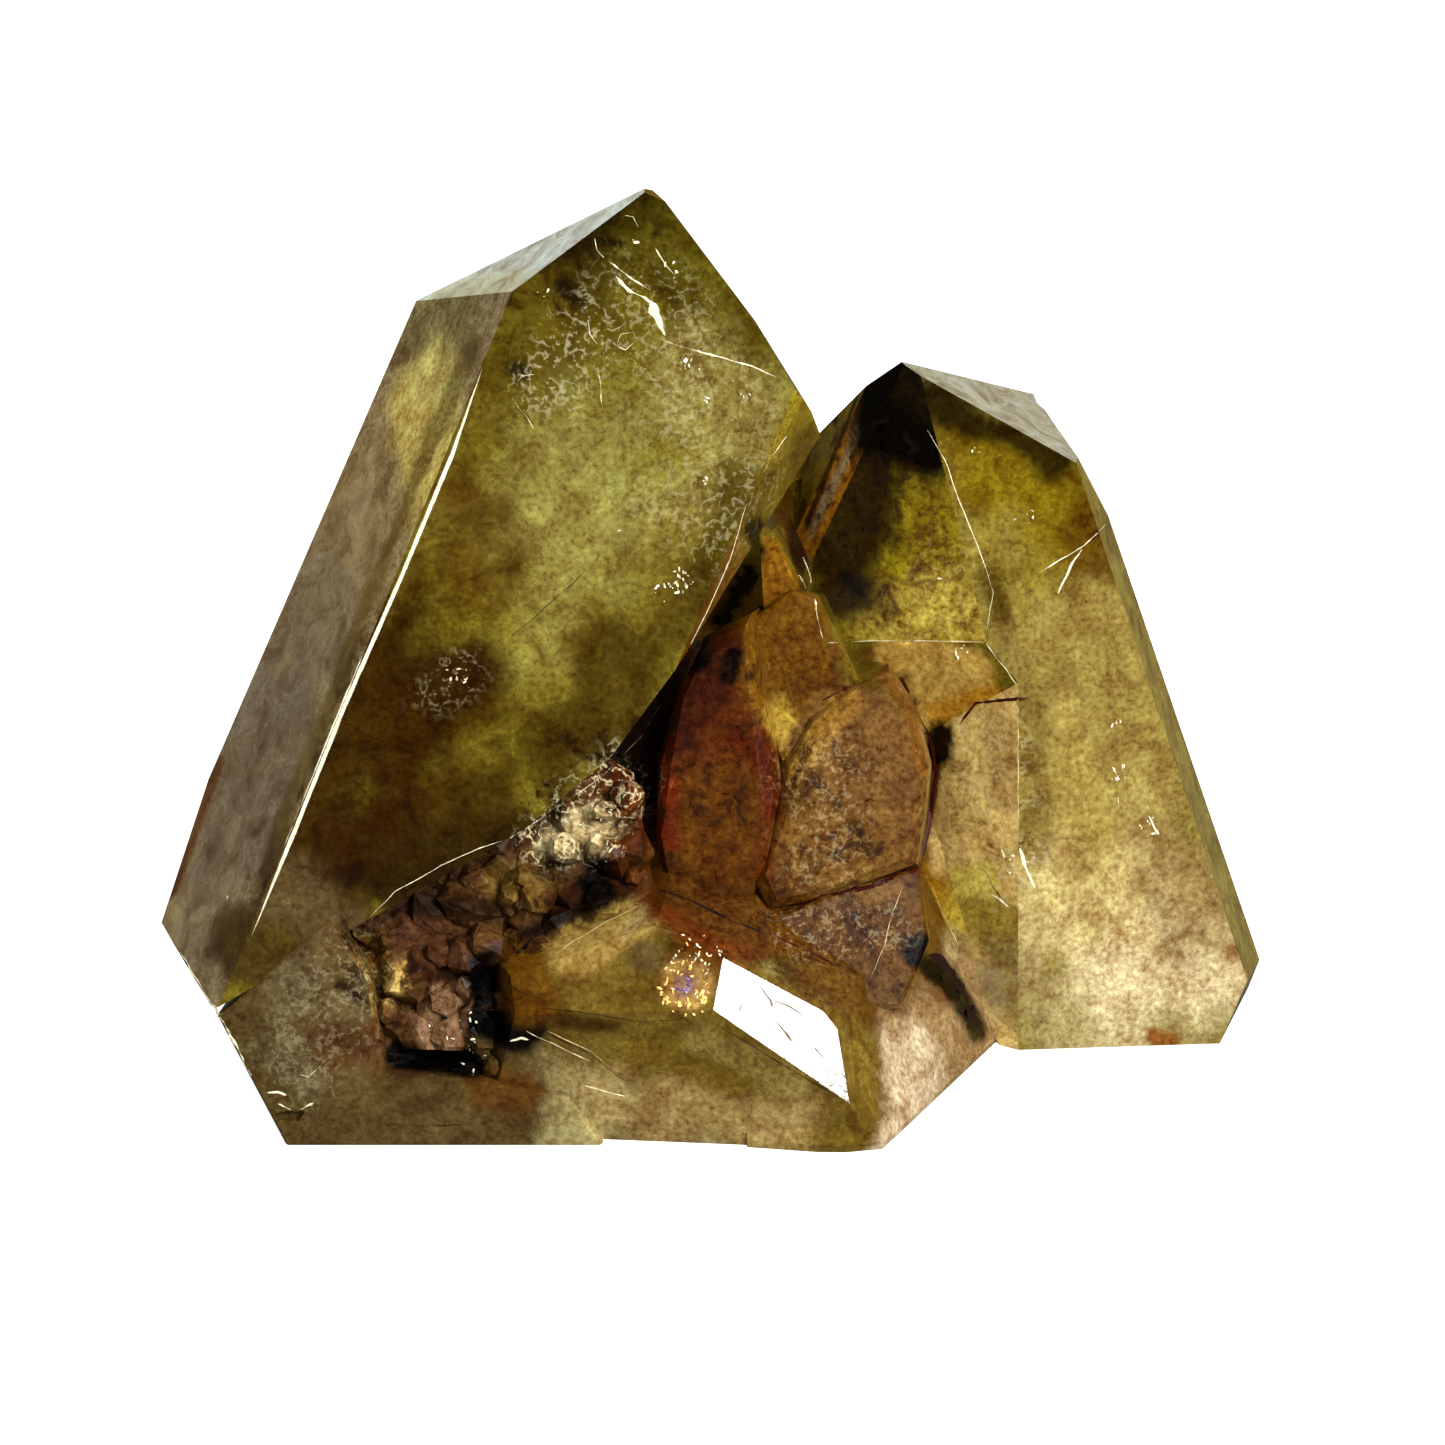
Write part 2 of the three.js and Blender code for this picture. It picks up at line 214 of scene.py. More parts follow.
# What isn't painted: the olive body of the stone, browner in its clouds and paler at its foot, in
# hundredths, and how strongly the clouds and the foot cover it
BODY_TONE = (44, 37, 10)
CLOUD_TONE = (28, 18, 4)
CLOUD_SIZE = 9 * MM
CLOUD_EDGE = 1.6
CLOUD_COVER = 0.6
FOOT_TONE = (62, 57, 42)
FOOT_HEIGHT = 16 * MM
FOOT_SWAY = 0.25
FOOT_COVER = 0.8

# A patch of colour: pixels of the photograph that its middle line runs through, how far it
# reaches from that line and fades out beyond, in mm, its colour, in hundredths, and how strongly
# it covers. A name leaves out what the heading above it says
Patch = namedtuple("Patch", "name line reach fade colour cover", defaults=(0.9,))

# Patches that spread through the stone, whatever face they meet
THROUGH = rows(
    Patch,
    # The cut foot of the cluster
    ("left base", [(290, 1050), (430, 1110)], 7, 3, (33, 26, 14), 1),
    ("left base low", [(310, 1125), (480, 1128)], 0.8, 1, (36, 28, 17), 0.8),
    ("left base swirl", [(290, 1050), (330, 1070)], 1.4, 2.4, (46, 42, 32), 0.5),
    ("right base", [(890, 1000), (950, 1060)], 6, 3, (57, 45, 32), 1),
    ("right base pale", [(900, 1080), (880, 1130)], 2, 3, (86, 78, 70), 0.65),
    ("right base upper", [(800, 945), (870, 985)], 1.6, 2, (24, 12, 3)),
    # The front crystal
    ("front crystal", [(570, 960), (700, 1040), (800, 1090)], 5.5, 2, (42, 33, 12), 1),
    ("low", [(600, 1100), (760, 1120)], 1.4, 3.4, (68, 57, 38), 0.8),
    ("tan", [(575, 945), (640, 915)], 1.6, 1, (64, 52, 29)),
    ("streak", [(625, 935), (645, 908)], 0.4, 0.6, (66, 57, 38), 0.8),
    ("disc", [(645, 955)], 1.1, 0.8, (34, 27, 16), 0.85),
    ("shade", [(565, 1020), (615, 1028)], 0.4, 0.9, (20, 11, 1)),
    ("rainbow halo", [(686, 983)], 1.5, 0.8, (72, 56, 34)),
    ("rainbow middle", [(685, 985)], 0.5, 0.5, (60, 45, 42), 1),
    ("green", [(660, 935), (672, 945)], 0.5, 0.6, (30, 25, 8), 0.8),
    ("moss", [(640, 1050), (690, 1060), (735, 1085)], 1, 1.2, (42, 33, 9), 0.85),
    ("right", [(770, 945), (840, 985)], 1, 1.2, (26, 17, 4)),
    ("grey", [(700, 1040), (790, 1085)], 0.7, 1, (52, 44, 24), 0.8),
    # The druse and its matrix
    ("matrix", [(385, 1010), (420, 930), (520, 860), (630, 790)], 5.5, 2, (34, 22, 12), 1),
    ("pale", [(560, 845), (620, 820), (628, 838)], 1.2, 1, (84, 74, 60), 0.95),
    ("moss", [(505, 885), (550, 895)], 1.2, 1, (46, 34, 16)),
    ("mauve", [(400, 925), (440, 950)], 1.8, 1.6, (33, 20, 13)),
    ("dark left", [(378, 945), (376, 1000)], 0.5, 1.2, (42, 30, 8), 0.8),
    ("dark middle", [(430, 905), (500, 908)], 0.4, 1.2, (10, 6, 3)),
    ("dark low", [(425, 975), (455, 985)], 0.4, 1, (25, 13, 7)),
    ("dark right", [(545, 870), (580, 860)], 0.4, 1, (30, 22, 13), 0.8),
    ("rust", [(560, 905), (590, 890)], 0.9, 1, (20, 6, 3)),
    ("shadow", [(600, 885), (650, 870)], 1.3, 0.9, (2, 1.2, 1), 1),
    ("rim shadow", [(370, 925), (450, 875), (560, 815)], 0.3, 0.8, (20, 12, 7), 0.7),
    ("shelf", [(350, 1098), (440, 1104), (515, 1104)], 1.4, 1.6, (34, 27, 15), 0.95),
    ("shelf amber", [(480, 1085), (530, 1095)], 0.7, 1.3, (36, 21, 5), 0.8),
    # The cavity, the slot and the cavity's rim are painted shade, near-black where the hollows lie in shadow
    ("cavity", [(500, 975), (480, 1010), (520, 1025)], 1.8, 0.8, (1.2, 1, 0.8), 1),
    ("slot", [(400, 1058), (470, 1062)], 0.9, 0.7, (2, 1.2, 1), 1),
    ("cavity rim", [(480, 965), (545, 925), (600, 900)], 0.5, 0.7, (4, 2, 1.5), 0.95),
    ("pink facet", [(445, 1005), (440, 1035)], 1.6, 0.5, (53, 39, 31), 0.95),
    ("cream chip", [(402, 966), (397, 988)], 0.55, 0.25, (80, 66, 42), 1),
    # The stained blocks between the points
    ("block ground", [(720, 660), (800, 800), (880, 900)], 7, 2.5, (34, 22, 6), 1),
    ("russet block", [(690, 720), (700, 830), (720, 880)], 5.5, 2, (34, 15, 2), 1),
    ("amber block", [(775, 620), (790, 680)], 3, 1, (40, 25, 2), 1),
    ("amber foot", [(780, 712), (792, 728)], 0.8, 1, (66, 53, 22)),
    ("mauve block", [(850, 740), (870, 800), (860, 860)], 3.8, 0.8, (42, 28, 13), 1),
    ("mauve cream", [(810, 850), (870, 860), (850, 880)], 2, 1.6, (43, 29, 12)),
    ("mauve border", [(790, 770), (820, 730), (850, 700)], 0.5, 0.8, (58, 42, 17), 0.85),
    ("cracked block", [(760, 915), (830, 930), (890, 935)], 2, 1.2, (34, 20, 3), 0.95),
    ("russet shade", [(722, 640), (706, 690), (672, 740)], 1, 1, (24, 8, 2)),
    ("russet core", [(715, 800), (705, 850)], 2.2, 2, (38, 21, 2)),
    ("russet arc", [(735, 738), (760, 752), (774, 780), (772, 810)], 0.4, 0.7, (32, 9, 1), 0.75),
    ("russet left", [(664, 770), (668, 840)], 0.5, 1, (42, 12, 2)),
    ("russet blot", [(735, 655), (728, 675)], 0.35, 0.4, (2, 1, 0.5), 0.95),
    ("block foot", [(650, 868), (700, 902), (748, 925)], 1.2, 1.2, (30, 17, 4)),
    ("splinter", [(768, 550), (778, 590)], 0.8, 0.5, (56, 36, 6), 0.95),
    ("splinter shade", [(780, 505), (795, 545)], 0.9, 0.8, (26, 13, 2), 0.95),
    # The gap and its foot are painted shade, near-black in the gap between the left point and the blocks
    ("gap", [(757, 530), (748, 575), (722, 618), (697, 655), (675, 695), (657, 740)],
     0.8, 0.5, (1, 0.8, 0.6), 1),
    ("gap foot", [(652, 745), (650, 790)], 0.5, 0.7, (5, 2, 1.5)),
    ("ledge", [(905, 665), (960, 680), (945, 710)], 2.2, 0.5, (80, 64, 34), 1),
    ("ledge orange", [(935, 712), (985, 695)], 0.5, 0.8, (80, 56, 14)),
    ("under ledge", [(835, 653), (868, 655)], 0.5, 0.4, (40, 24, 9)),
    ("front crystal end", [(522, 960), (530, 1005)], 0.9, 1.8, (36, 22, 3)),
)

# Crystal faces that lie mostly in these patches are opaque and not clear: stained blocks and matrix, and the
# gap, gap foot, cavity, slot and dark cavity, whose near-black is painted shade
STAINED_AND_SHADED = ("matrix", "cavity", "slot", "pink facet", "russet block", "amber block", "mauve block",
           "cracked block", "splinter", "splinter shade", "gap", "gap foot", "dark cavity",
           "right point left face", "right point narrow face")

# Patches that stay on the crystal faces under their middle line
ON_FACES = rows(
    Patch,
    # The large left point, top face
    # Its pale grey, and that of its edge, is painted reflection of the pale surroundings above and behind
    ("left point top", [(540, 265)], 60, 1, (80, 82, 84), 1),
    ("left point top edge", [(440, 295), (500, 292)], 0.8, 2, (78, 77, 68), 0.8),
    # The large left point, left face
    ("left face", [(400, 450), (300, 680), (220, 860)], 60, 1, (58, 50, 38), 1),
    ("head", [(425, 330), (450, 330)], 2.2, 2.4, (52, 46, 30)),
    ("pale", [(420, 400), (430, 460)], 1.8, 4, (86, 78, 46)),
    ("middle", [(350, 560), (320, 640)], 3, 4, (56, 48, 38)),
    # The lilac grey low on this face is painted reflection, the grey sheen that the face mirrors
    ("lilac", [(270, 740), (215, 870)], 4.5, 6, (50, 43, 38)),
    ("foot", [(228, 925), (262, 920), (280, 880)], 1, 3, (27, 19, 7)),
    ("strip", [(470, 350), (415, 480), (335, 690), (285, 820)], 0.4, 1.3, (38, 30, 8), 0.75),
    ("rust", [(216, 768), (196, 830), (174, 888)], 0.7, 0.6, (40, 23, 12), 0.95),
    # The large left point, front face
    ("face", [(560, 330), (480, 640), (720, 470)], 80, 1, (48, 42, 12), 1),
    ("glow", [(560, 440), (575, 560), (590, 630)], 2, 11, (57, 53, 29)),
    ("glow low", [(470, 620), (450, 700), (520, 720)], 1, 6, (43, 36, 9), 0.8),
    ("tip", [(545, 290), (600, 230), (645, 205)], 2.6, 5.5, (10, 6, 0.5), 0.97),
    ("upper left", [(520, 310), (487, 400), (470, 450)], 0.8, 4.5, (35, 28, 5)),
    ("upper middle", [(560, 325), (600, 350), (640, 310)], 1.4, 4.5, (36, 30, 8), 0.7),
    ("right dark", [(670, 250), (720, 330), (760, 350)], 2, 3.4, (32, 27, 6), 0.85),
    ("right grey", [(705, 380), (750, 430), (715, 510), (690, 560)], 1.6, 4.5, (57, 51, 28)),
    ("pale arc", [(535, 395), (545, 410)], 1.2, 1.2, (42, 36, 12), 0.7),
    ("right gold", [(795, 400), (775, 440)], 1, 1.6, (58, 50, 14)),
    ("right foot", [(802, 452), (790, 500)], 1.2, 1.6, (28, 19, 4)),
    ("low right", [(680, 580), (640, 650), (590, 700)], 1.5, 5, (40, 33, 8), 0.85),
    ("right shade", [(718, 560), (692, 612), (662, 665)], 0.5, 2.2, (26, 20, 4), 0.8),
    ("green right", [(740, 480), (720, 550)], 0.7, 1.4, (30, 24, 2), 0.85),
    ("brown left", [(470, 520), (465, 580)], 0.8, 4, (30, 20, 3), 0.8),
    ("brown low", [(400, 690), (345, 790), (310, 860)], 3.6, 8, (17, 7, 1), 0.93),
    ("brown foot", [(400, 860), (470, 820)], 2.4, 5, (15, 6, 1), 0.85),
    ("brown middle", [(470, 760), (420, 810)], 1.5, 7, (22, 12, 1), 0.8),
    ("base veil", [(300, 985), (345, 985)], 1.5, 2.4, (42, 36, 26), 0.85),
    ("low shade", [(470, 800), (545, 745), (615, 680)], 1.2, 4, (25, 18, 3), 0.85),
    ("bottom left", [(290, 905), (340, 940)], 1.4, 2.6, (38, 30, 19)),
    ("foot corner", [(238, 950), (268, 960)], 1.6, 2, (27, 20, 7)),
    ("lower rim", [(400, 885), (480, 845), (560, 800), (620, 745), (665, 690)],
     0.6, 3.5, (16, 10, 1), 0.85),
    ("black spot", [(657, 233)], 0.3, 0.4, (2, 1.5, 0.5), 0.95),
    ("black spots", [(602, 240), (618, 243)], 0.15, 0.35, (4, 2, 1)),
    ("dark blots", [(562, 285), (578, 300)], 0.3, 0.6, (6, 4, 1), 0.85),
    ("left blot", [(516, 368), (524, 372)], 0.25, 0.4, (6, 4, 1)),
    # The mottled face between the blocks and the right point
    ("mottled face", [(975, 770), (980, 830)], 60, 1, (88, 74, 47), 1),
    ("mottled face pink", [(1000, 730), (1005, 790)], 1, 1, (68, 53, 34), 0.85),
    # The right point
    # The top face's pale grey is painted reflection of the pale surroundings above and behind
    ("top", [(1000, 410)], 60, 1, (60, 58, 54), 1),
    ("right point narrow face", [(850, 440)], 60, 1, (62, 38, 7), 1),
    ("narrow face band", [(868, 400), (850, 450), (812, 530)], 0.35, 0.3, (60, 50, 38), 0.95),
    ("narrow face streak", [(856, 400), (838, 445), (806, 525)], 0.2, 0.4, (10, 5, 2)),
    ("narrow face black", [(835, 418), (820, 430)], 0.2, 0.4, (3, 2, 1)),
    ("narrow face shade", [(800, 520), (795, 555)], 0.9, 1.2, (10, 3, 1)),
    ("right point left face", [(900, 500), (930, 600)], 60, 1, (52, 43, 5), 1),
    ("left grey", [(960, 620), (880, 620)], 1.4, 3, (74, 63, 28), 0.85),
    ("left dark", [(882, 430), (862, 470), (850, 530), (842, 590)], 1.8, 3, (12, 5, 1), 0.94),
    ("tip", [(898, 372), (885, 420), (915, 440)], 2.4, 3, (2, 1, 0.4), 1),
    ("blots", [(845, 578), (858, 590)], 0.45, 0.6, (2, 1.5, 0.5), 0.95),
    ("front face", [(1060, 480), (1110, 700), (1180, 900)], 80, 1, (52, 45, 20), 1),
    ("gold", [(1000, 450), (1050, 480), (1060, 520)], 2, 5, (46, 37, 1)),
    ("tip right", [(905, 380), (940, 400), (990, 425), (1050, 460)],
     0.7, 1.6, (10, 6, 1), 0.95),
    ("brown", [(1095, 540), (1115, 610)], 1.6, 2.4, (33, 21, 2), 0.85),
    ("band", [(990, 580), (1005, 620), (1018, 660)], 0.4, 0.7, (26, 19, 1)),
    ("right rim", [(1105, 480), (1150, 640), (1205, 800)], 0.4, 2.4, (48, 41, 16), 0.6),
    ("middle", [(1080, 660), (1130, 760)], 2, 6, (60, 51, 27), 0.85),
    ("glow", [(1060, 770), (1090, 830)], 2, 6, (64, 55, 30), 0.85),
    ("beside crack", [(955, 905), (1000, 925)], 1.4, 1.6, (54, 44, 14), 0.92),
    ("bright green", [(955, 882), (985, 880)], 0.9, 0.8, (86, 78, 36)),
    ("orange", [(933, 870), (935, 895)], 0.5, 0.8, (50, 34, 3)),
    ("foot beige", [(1060, 920), (1180, 930)], 2, 6, (78, 69, 48), 0.85),
    ("foot cream", [(1100, 1000), (1240, 970)], 2, 6, (86, 78, 64)),
    ("foot mauve", [(1190, 870), (1215, 920)], 1, 5, (60, 49, 32), 0.8),
    ("foot olive", [(1010, 1000), (1060, 1020)], 1, 4, (60, 53, 34), 0.8),
    ("rust chip", [(1155, 1036), (1170, 1042)], 0.7, 0.4, (50, 30, 12), 1),
    ("border", [(1030, 700), (1032, 780), (1034, 850)], 0.4, 1.4, (40, 31, 12), 0.7),
    ("side", [(1144, 600), (1196, 821), (1242, 960)], 60, 1, (52, 45, 20), 1),
)

# Gaps between the crystals and their rims, laid over the rest: the black triangle, the dark cavity and the
# mauve block's right shade are painted shade in the hollows
GAPS = rows(
    Patch,
    ("mottled edge", [(940, 775), (942, 830), (940, 865)], 0.6, 0.5, (66, 54, 34)),
    ("dark cavity rim", [(905, 960), (940, 995), (985, 1035)], 0.3, 0.7, (38, 20, 9), 0.8),
    ("mauve right rim", [(885, 672), (903, 696), (918, 730), (926, 768)], 0.5, 0.5, (46, 29, 12)),
    ("mauve right shade", [(900, 680), (915, 706), (928, 740), (932, 775), (927, 820), (917, 870)],
     0.45, 0.55, (28, 7, 3)),
    ("black triangle", [(941, 733), (938, 754)], 0.8, 0.5, (1, 0.8, 0.6), 1),
    ("dark cavity", [(918, 953), (945, 975), (965, 1008), (978, 1030)], 0.9, 0.6, (1.5, 1, 0.8), 1),
)

# Where curly pale threads and flecks show, and how many
Mark = namedtuple("Mark", "name line reach fade cover")
VEILS = rows(
    Mark,
    ("left point veil", [(640, 320), (690, 380), (720, 430), (700, 500)], 2, 4, 0.4),
    ("left point haze", [(600, 330), (560, 390)], 1.6, 2, 0.6),
    ("left point low veil", [(455, 668), (445, 690)], 0.6, 2, 0.3),
    ("right point veil", [(960, 560), (920, 615)], 1.2, 2.4, 0.1),
    ("right point low veil", [(1000, 880), (1020, 860)], 1, 1.6, 0.6),
    ("left base veil", [(300, 1060), (345, 985)], 2, 3, 0.2),
    ("matrix threads", [(560, 830), (620, 790)], 2, 2, 0.7),
    ("mauve threads", [(820, 780), (830, 860)], 1.6, 2.6, 0.14),
    ("mottled face threads", [(990, 730), (1000, 800)], 1.6, 1.6, 0.5),
    ("cracked block threads", [(800, 935), (880, 930)], 1.4, 1.4, 0.15),
)
SPECKS = rows(
    Mark,
    ("left point tip specks", [(560, 290), (640, 230)], 3, 4, 0.7),
    ("left point low specks", [(400, 690), (310, 860)], 3, 4, 0.5),
    ("right point specks", [(860, 430), (840, 590)], 3, 3, 0.7),
    ("block specks", [(700, 700), (740, 800)], 4, 3, 0.7),
    ("mauve specks", [(810, 780), (860, 870)], 2.6, 2, 0.8),
    ("cracked specks", [(780, 920), (890, 940)], 2, 2, 0.7),
    ("right point left specks", [(880, 450), (870, 590), (930, 560)], 3, 3, 0.3),
    ("mottled specks", [(990, 740), (990, 830)], 2, 2, 0.5),
    ("matrix pits", [(400, 970), (520, 870), (630, 790)], 5, 3, 0.9),
)

# Smooth faces with hardly any grain
CALM = rows(
    Mark,
    ("left point top", [(450, 290), (620, 200)], 8, 2, 0.9),
    ("right point top", [(960, 385), (1060, 440)], 5, 2, 0.9),
    ("left face", [(330, 560), (200, 880)], 6, 4, 0.6),
)

# Lines drawn over the stone: pixels of the photograph that they run through, their width in mm
# and how ragged they are, from 0 to 1
Line = namedtuple("Line", "name pixels width ragged", defaults=(1,))
# Pale lines: most are healed cracks, and the lines along the left point's edge and rims are painted
# highlights
WHITE_CRACKS_AND_HIGHLIGHTS = rows(
    Line,
    # A painted highlight along the edge between the left point's left and front faces
    ("left point edge", [(483, 366), (452, 455), (400, 580), (345, 705), (295, 830), (250, 940)], 0.58, 0.12),
    ("tip hook", [(623, 215), (633, 217), (640, 229)], 0.17),
    ("tip trail", [(653, 246), (661, 258), (672, 272), (676, 280)], 0.19),
    ("tip stem", [(594, 236), (597, 250), (605, 259)], 0.11),
    ("tip streak", [(607, 261), (630, 277), (653, 292)], 0.4),
    ("tip flake", [(614, 274), (628, 290), (645, 298), (660, 312)], 0.8),
    ("tip patch", [(648, 302), (657, 318), (667, 338)], 1.2),
    ("long fracture", [(648, 335), (680, 346), (723, 358), (751, 366), (779, 378)], 0.2),
    ("bent line", [(588, 318), (590, 334), (598, 346)], 0.15),
    ("loop", [(617, 345), (622, 334), (633, 332), (635, 341), (625, 350), (616, 346)], 0.11),
    ("arc", [(513, 386), (522, 376), (536, 374)], 0.14),
    ("arc foot", [(510, 396), (523, 413), (536, 430)], 0.15),
    ("stem", [(598, 372), (602, 390), (603, 408)], 0.14),
    ("rim stub", [(787, 434), (780, 446), (772, 457)], 0.14),
    # Painted highlights along the rims of the left point's front face
    ("right rim", [(747, 502), (730, 560), (708, 610), (686, 654)], 0.15, 0.4),
    ("lower rim", [(365, 922), (395, 892), (440, 866), (480, 848), (510, 838), (545, 816)], 0.15, 0.6),
    ("lower rim right", [(560, 806), (600, 778), (640, 738), (662, 702)], 0.12),
    ("ridge", [(926, 428), (945, 460), (957, 495), (983, 560), (993, 592), (985, 640)], 0.14, 0.4),
    ("right fracture", [(1107, 523), (1085, 545), (1060, 560), (1036, 574)], 0.14),
    ("right flame", [(1083, 547), (1072, 564), (1064, 580), (1058, 596)], 0.38),
    ("curved line", [(803, 555), (811, 580), (816, 610), (824, 642)], 0.2),
    ("curved line beside", [(798, 573), (806, 588), (812, 600)], 0.15),
    ("ledge top", [(826, 643), (871, 641), (930, 641), (985, 642)], 0.15),
    ("ledge right", [(985, 642), (1000, 662), (1018, 686)], 0.18),
    ("low crack", [(1019, 846), (1026, 868), (1036, 890)], 0.5),
    ("low crack beside", [(1000, 848), (1006, 860)], 0.4),
    ("low crack foot", [(990, 893), (1000, 900), (1010, 908)], 0.35),
    ("high streak", [(1113, 765), (1116, 772), (1120, 782)], 0.5),
    ("small streak", [(1118, 795), (1119, 806)], 0.19),
    ("lower streak", [(1147, 814), (1153, 826), (1160, 836)], 0.35),
    ("shelf streak", [(583, 1085), (604, 1091), (626, 1097)], 0.18),
    ("shelf line", [(525, 1030), (548, 1042), (592, 1062)], 0.15),
    ("shelf mark", [(508, 1042), (520, 1038), (530, 1040)], 0.3),
    ("low chip", [(276, 1103), (296, 1112), (315, 1102)], 0.6),
    ("low chip above", [(266, 1093), (277, 1092), (288, 1096)], 0.3),
    ("swirl", [(298, 1074), (308, 1077), (318, 1068), (326, 1058)], 0.15),
    ("left speck", [(227, 894), (228, 900)], 0.3),
    ("cut edge", [(178, 950), (200, 985), (222, 1020), (242, 1056), (250, 1080)], 0.3),
)
# Dark red seams in the crevices: partly rust, and partly painted shade where the crevices lie in shadow
RUST_AND_SHADE_SEAMS = rows(
    Line,
    ("mauve right seam", [(900, 676), (915, 706), (931, 740), (936, 775), (930, 820), (920, 870)], 0.75, 0.5),
    ("mauve low seam", [(776, 920), (820, 896), (880, 884), (905, 870), (920, 852)], 0.55, 0.6),
    ("mauve top seam", [(820, 702), (838, 692), (855, 684)], 0.4),
    ("ledge seam", [(958, 727), (975, 703), (1005, 700), (1032, 698)], 0.6, 0.6),
    ("block crack", [(765, 928), (800, 955), (832, 966)], 0.24),
    ("block crack low", [(835, 900), (870, 940), (900, 985)], 0.2),
    ("low black crack", [(975, 867), (986, 872), (996, 890), (1003, 900)], 0.22),
    ("shelf line dark", [(380, 1124), (440, 1126), (500, 1121)], 0.16),
    ("cracked block fault", [(768, 931), (790, 943), (813, 953), (840, 968), (862, 989)], 0.45, 0.7),
    ("left rust edge", [(206, 842), (198, 862)], 0.2),
)

# Dark lines: along the front crystal's edges and crease, the mirror face's low edge and in the dark cavity
# they are painted shade in creases and hollows; the faults and the blot are dark marks of the stone
DARK_CREASES = rows(
    Line,
    ("front crystal top", [(508, 965), (533, 936), (586, 907), (630, 893)], 0.5),
    ("front crystal low edge", [(533, 1013), (548, 1034), (586, 1052), (632, 1086)], 0.2),
    ("front crystal crease", [(535, 1008), (580, 1012), (640, 1022), (690, 1019)], 0.14),
    ("mirror low edge", [(711, 1021), (780, 1063), (846, 1102)], 0.14, 0.5),
    ("dark cavity", [(912, 951), (935, 957), (952, 971), (962, 990), (975, 1020), (985, 1035)], 1.9, 0.6),
    ("blot above block", [(850, 575), (846, 588), (838, 598)], 0.7),
    ("block foot seam", [(655, 888), (690, 900), (732, 921), (768, 934)], 0.6, 0.6),
    ("front fault", [(506, 642), (540, 612), (572, 584), (600, 556)], 0.12),
    ("matrix fault", [(372, 930), (410, 902), (450, 880), (500, 860)], 0.3),
)
MIRROR_CRACKS = rows(
    Line,
    ("mirror crack", [(757, 983), (770, 1000), (776, 1022), (800, 1050)], 0.3),
    ("mirror crack beside", [(770, 1000), (790, 1006), (806, 1018)], 0.24),
    ("mirror crack left", [(735, 985), (742, 1004), (736, 1018)], 0.24),
    ("mirror crack low", [(800, 1050), (815, 1048), (826, 1060)], 0.22),
)
# Beige lines: the front crystal's facet line is a painted highlight along its edge, the others are pale seams
BEIGE_SEAMS_AND_HIGHLIGHTS = rows(
    Line,
    ("mottled face right", [(1018, 702), (1018, 760), (1018, 845)], 0.16, 0.6),
    ("block line", [(868, 985), (884, 946), (893, 912), (905, 880)], 0.16, 0.6),
    ("block line right", [(925, 872), (940, 905), (960, 950)], 0.16, 0.6),
    ("front crystal facet", [(560, 950), (600, 925), (640, 905)], 0.2),
    ("front crystal ridge", [(545, 1030), (566, 1040), (592, 1052), (612, 1070)], 0.14, 0.7),
)

# Small flakes in the surface: the pale ones paint bright glints, with some pale specks of the stone among
# them, and the gold and violet ones the rainbow in a crack.
# The pixel in their middle, how many there are and how far out they lie, in pixels, in a ring round an empty
# middle or in a spot
Cluster = namedtuple("Cluster", "name middle count outer inner", defaults=(0,))
PALE_FLAKES_AND_GLINTS = rows(
    Cluster,
    ("left point glint", (680, 582), 24, 13),
    ("left point glint left", (660, 592), 7, 12),
    ("tip speck", (633, 243), 4, 4),
    ("tip specks low", (672, 270), 6, 9),
    ("left specks", (543, 292), 3, 6),
    ("speck patch", (690, 368), 9, 13),
    ("speck below", (706, 399), 3, 3),
    ("speck right", (745, 396), 5, 5),
    ("speck low", (706, 481), 5, 4),
    ("speck low left", (620, 531), 2, 3),
    ("flame", (460, 673), 9, 14),
    ("right point speck", (977, 452), 3, 5),
    ("right point specks", (1024, 514), 5, 12),
    ("right point speck low", (939, 577), 2, 2),
    ("ledge specks", (963, 652), 8, 8),
    ("right face specks", (1119, 728), 6, 9),
    ("right face streak", (1117, 773), 9, 10),
    ("right face streak low", (1150, 825), 8, 12),
    ("low crack flakes", (1022, 866), 12, 16),
    ("rainbow white", (688, 975), 22, 24, 12),
    ("rainbow corner", (714, 950), 8, 8),
    ("front crystal specks", (688, 945), 8, 14),
    ("matrix flakes", (600, 840), 16, 30),
    ("pink facet flakes", (455, 1030), 14, 26),
    ("slot flakes", (470, 1058), 8, 16),
)
GOLD_FLAKES = rows(
    Cluster,
    ("rainbow ring", (684, 985), 44, 25, 10),
    ("rainbow ring low", (694, 1002), 18, 16, 2),
    ("rainbow trail", (700, 953), 12, 18),
    ("rainbow tail", (672, 1002), 8, 10),
)
VIOLET_FLAKES = rows(
    Cluster,
    ("rainbow middle", (684, 985), 14, 12),
)

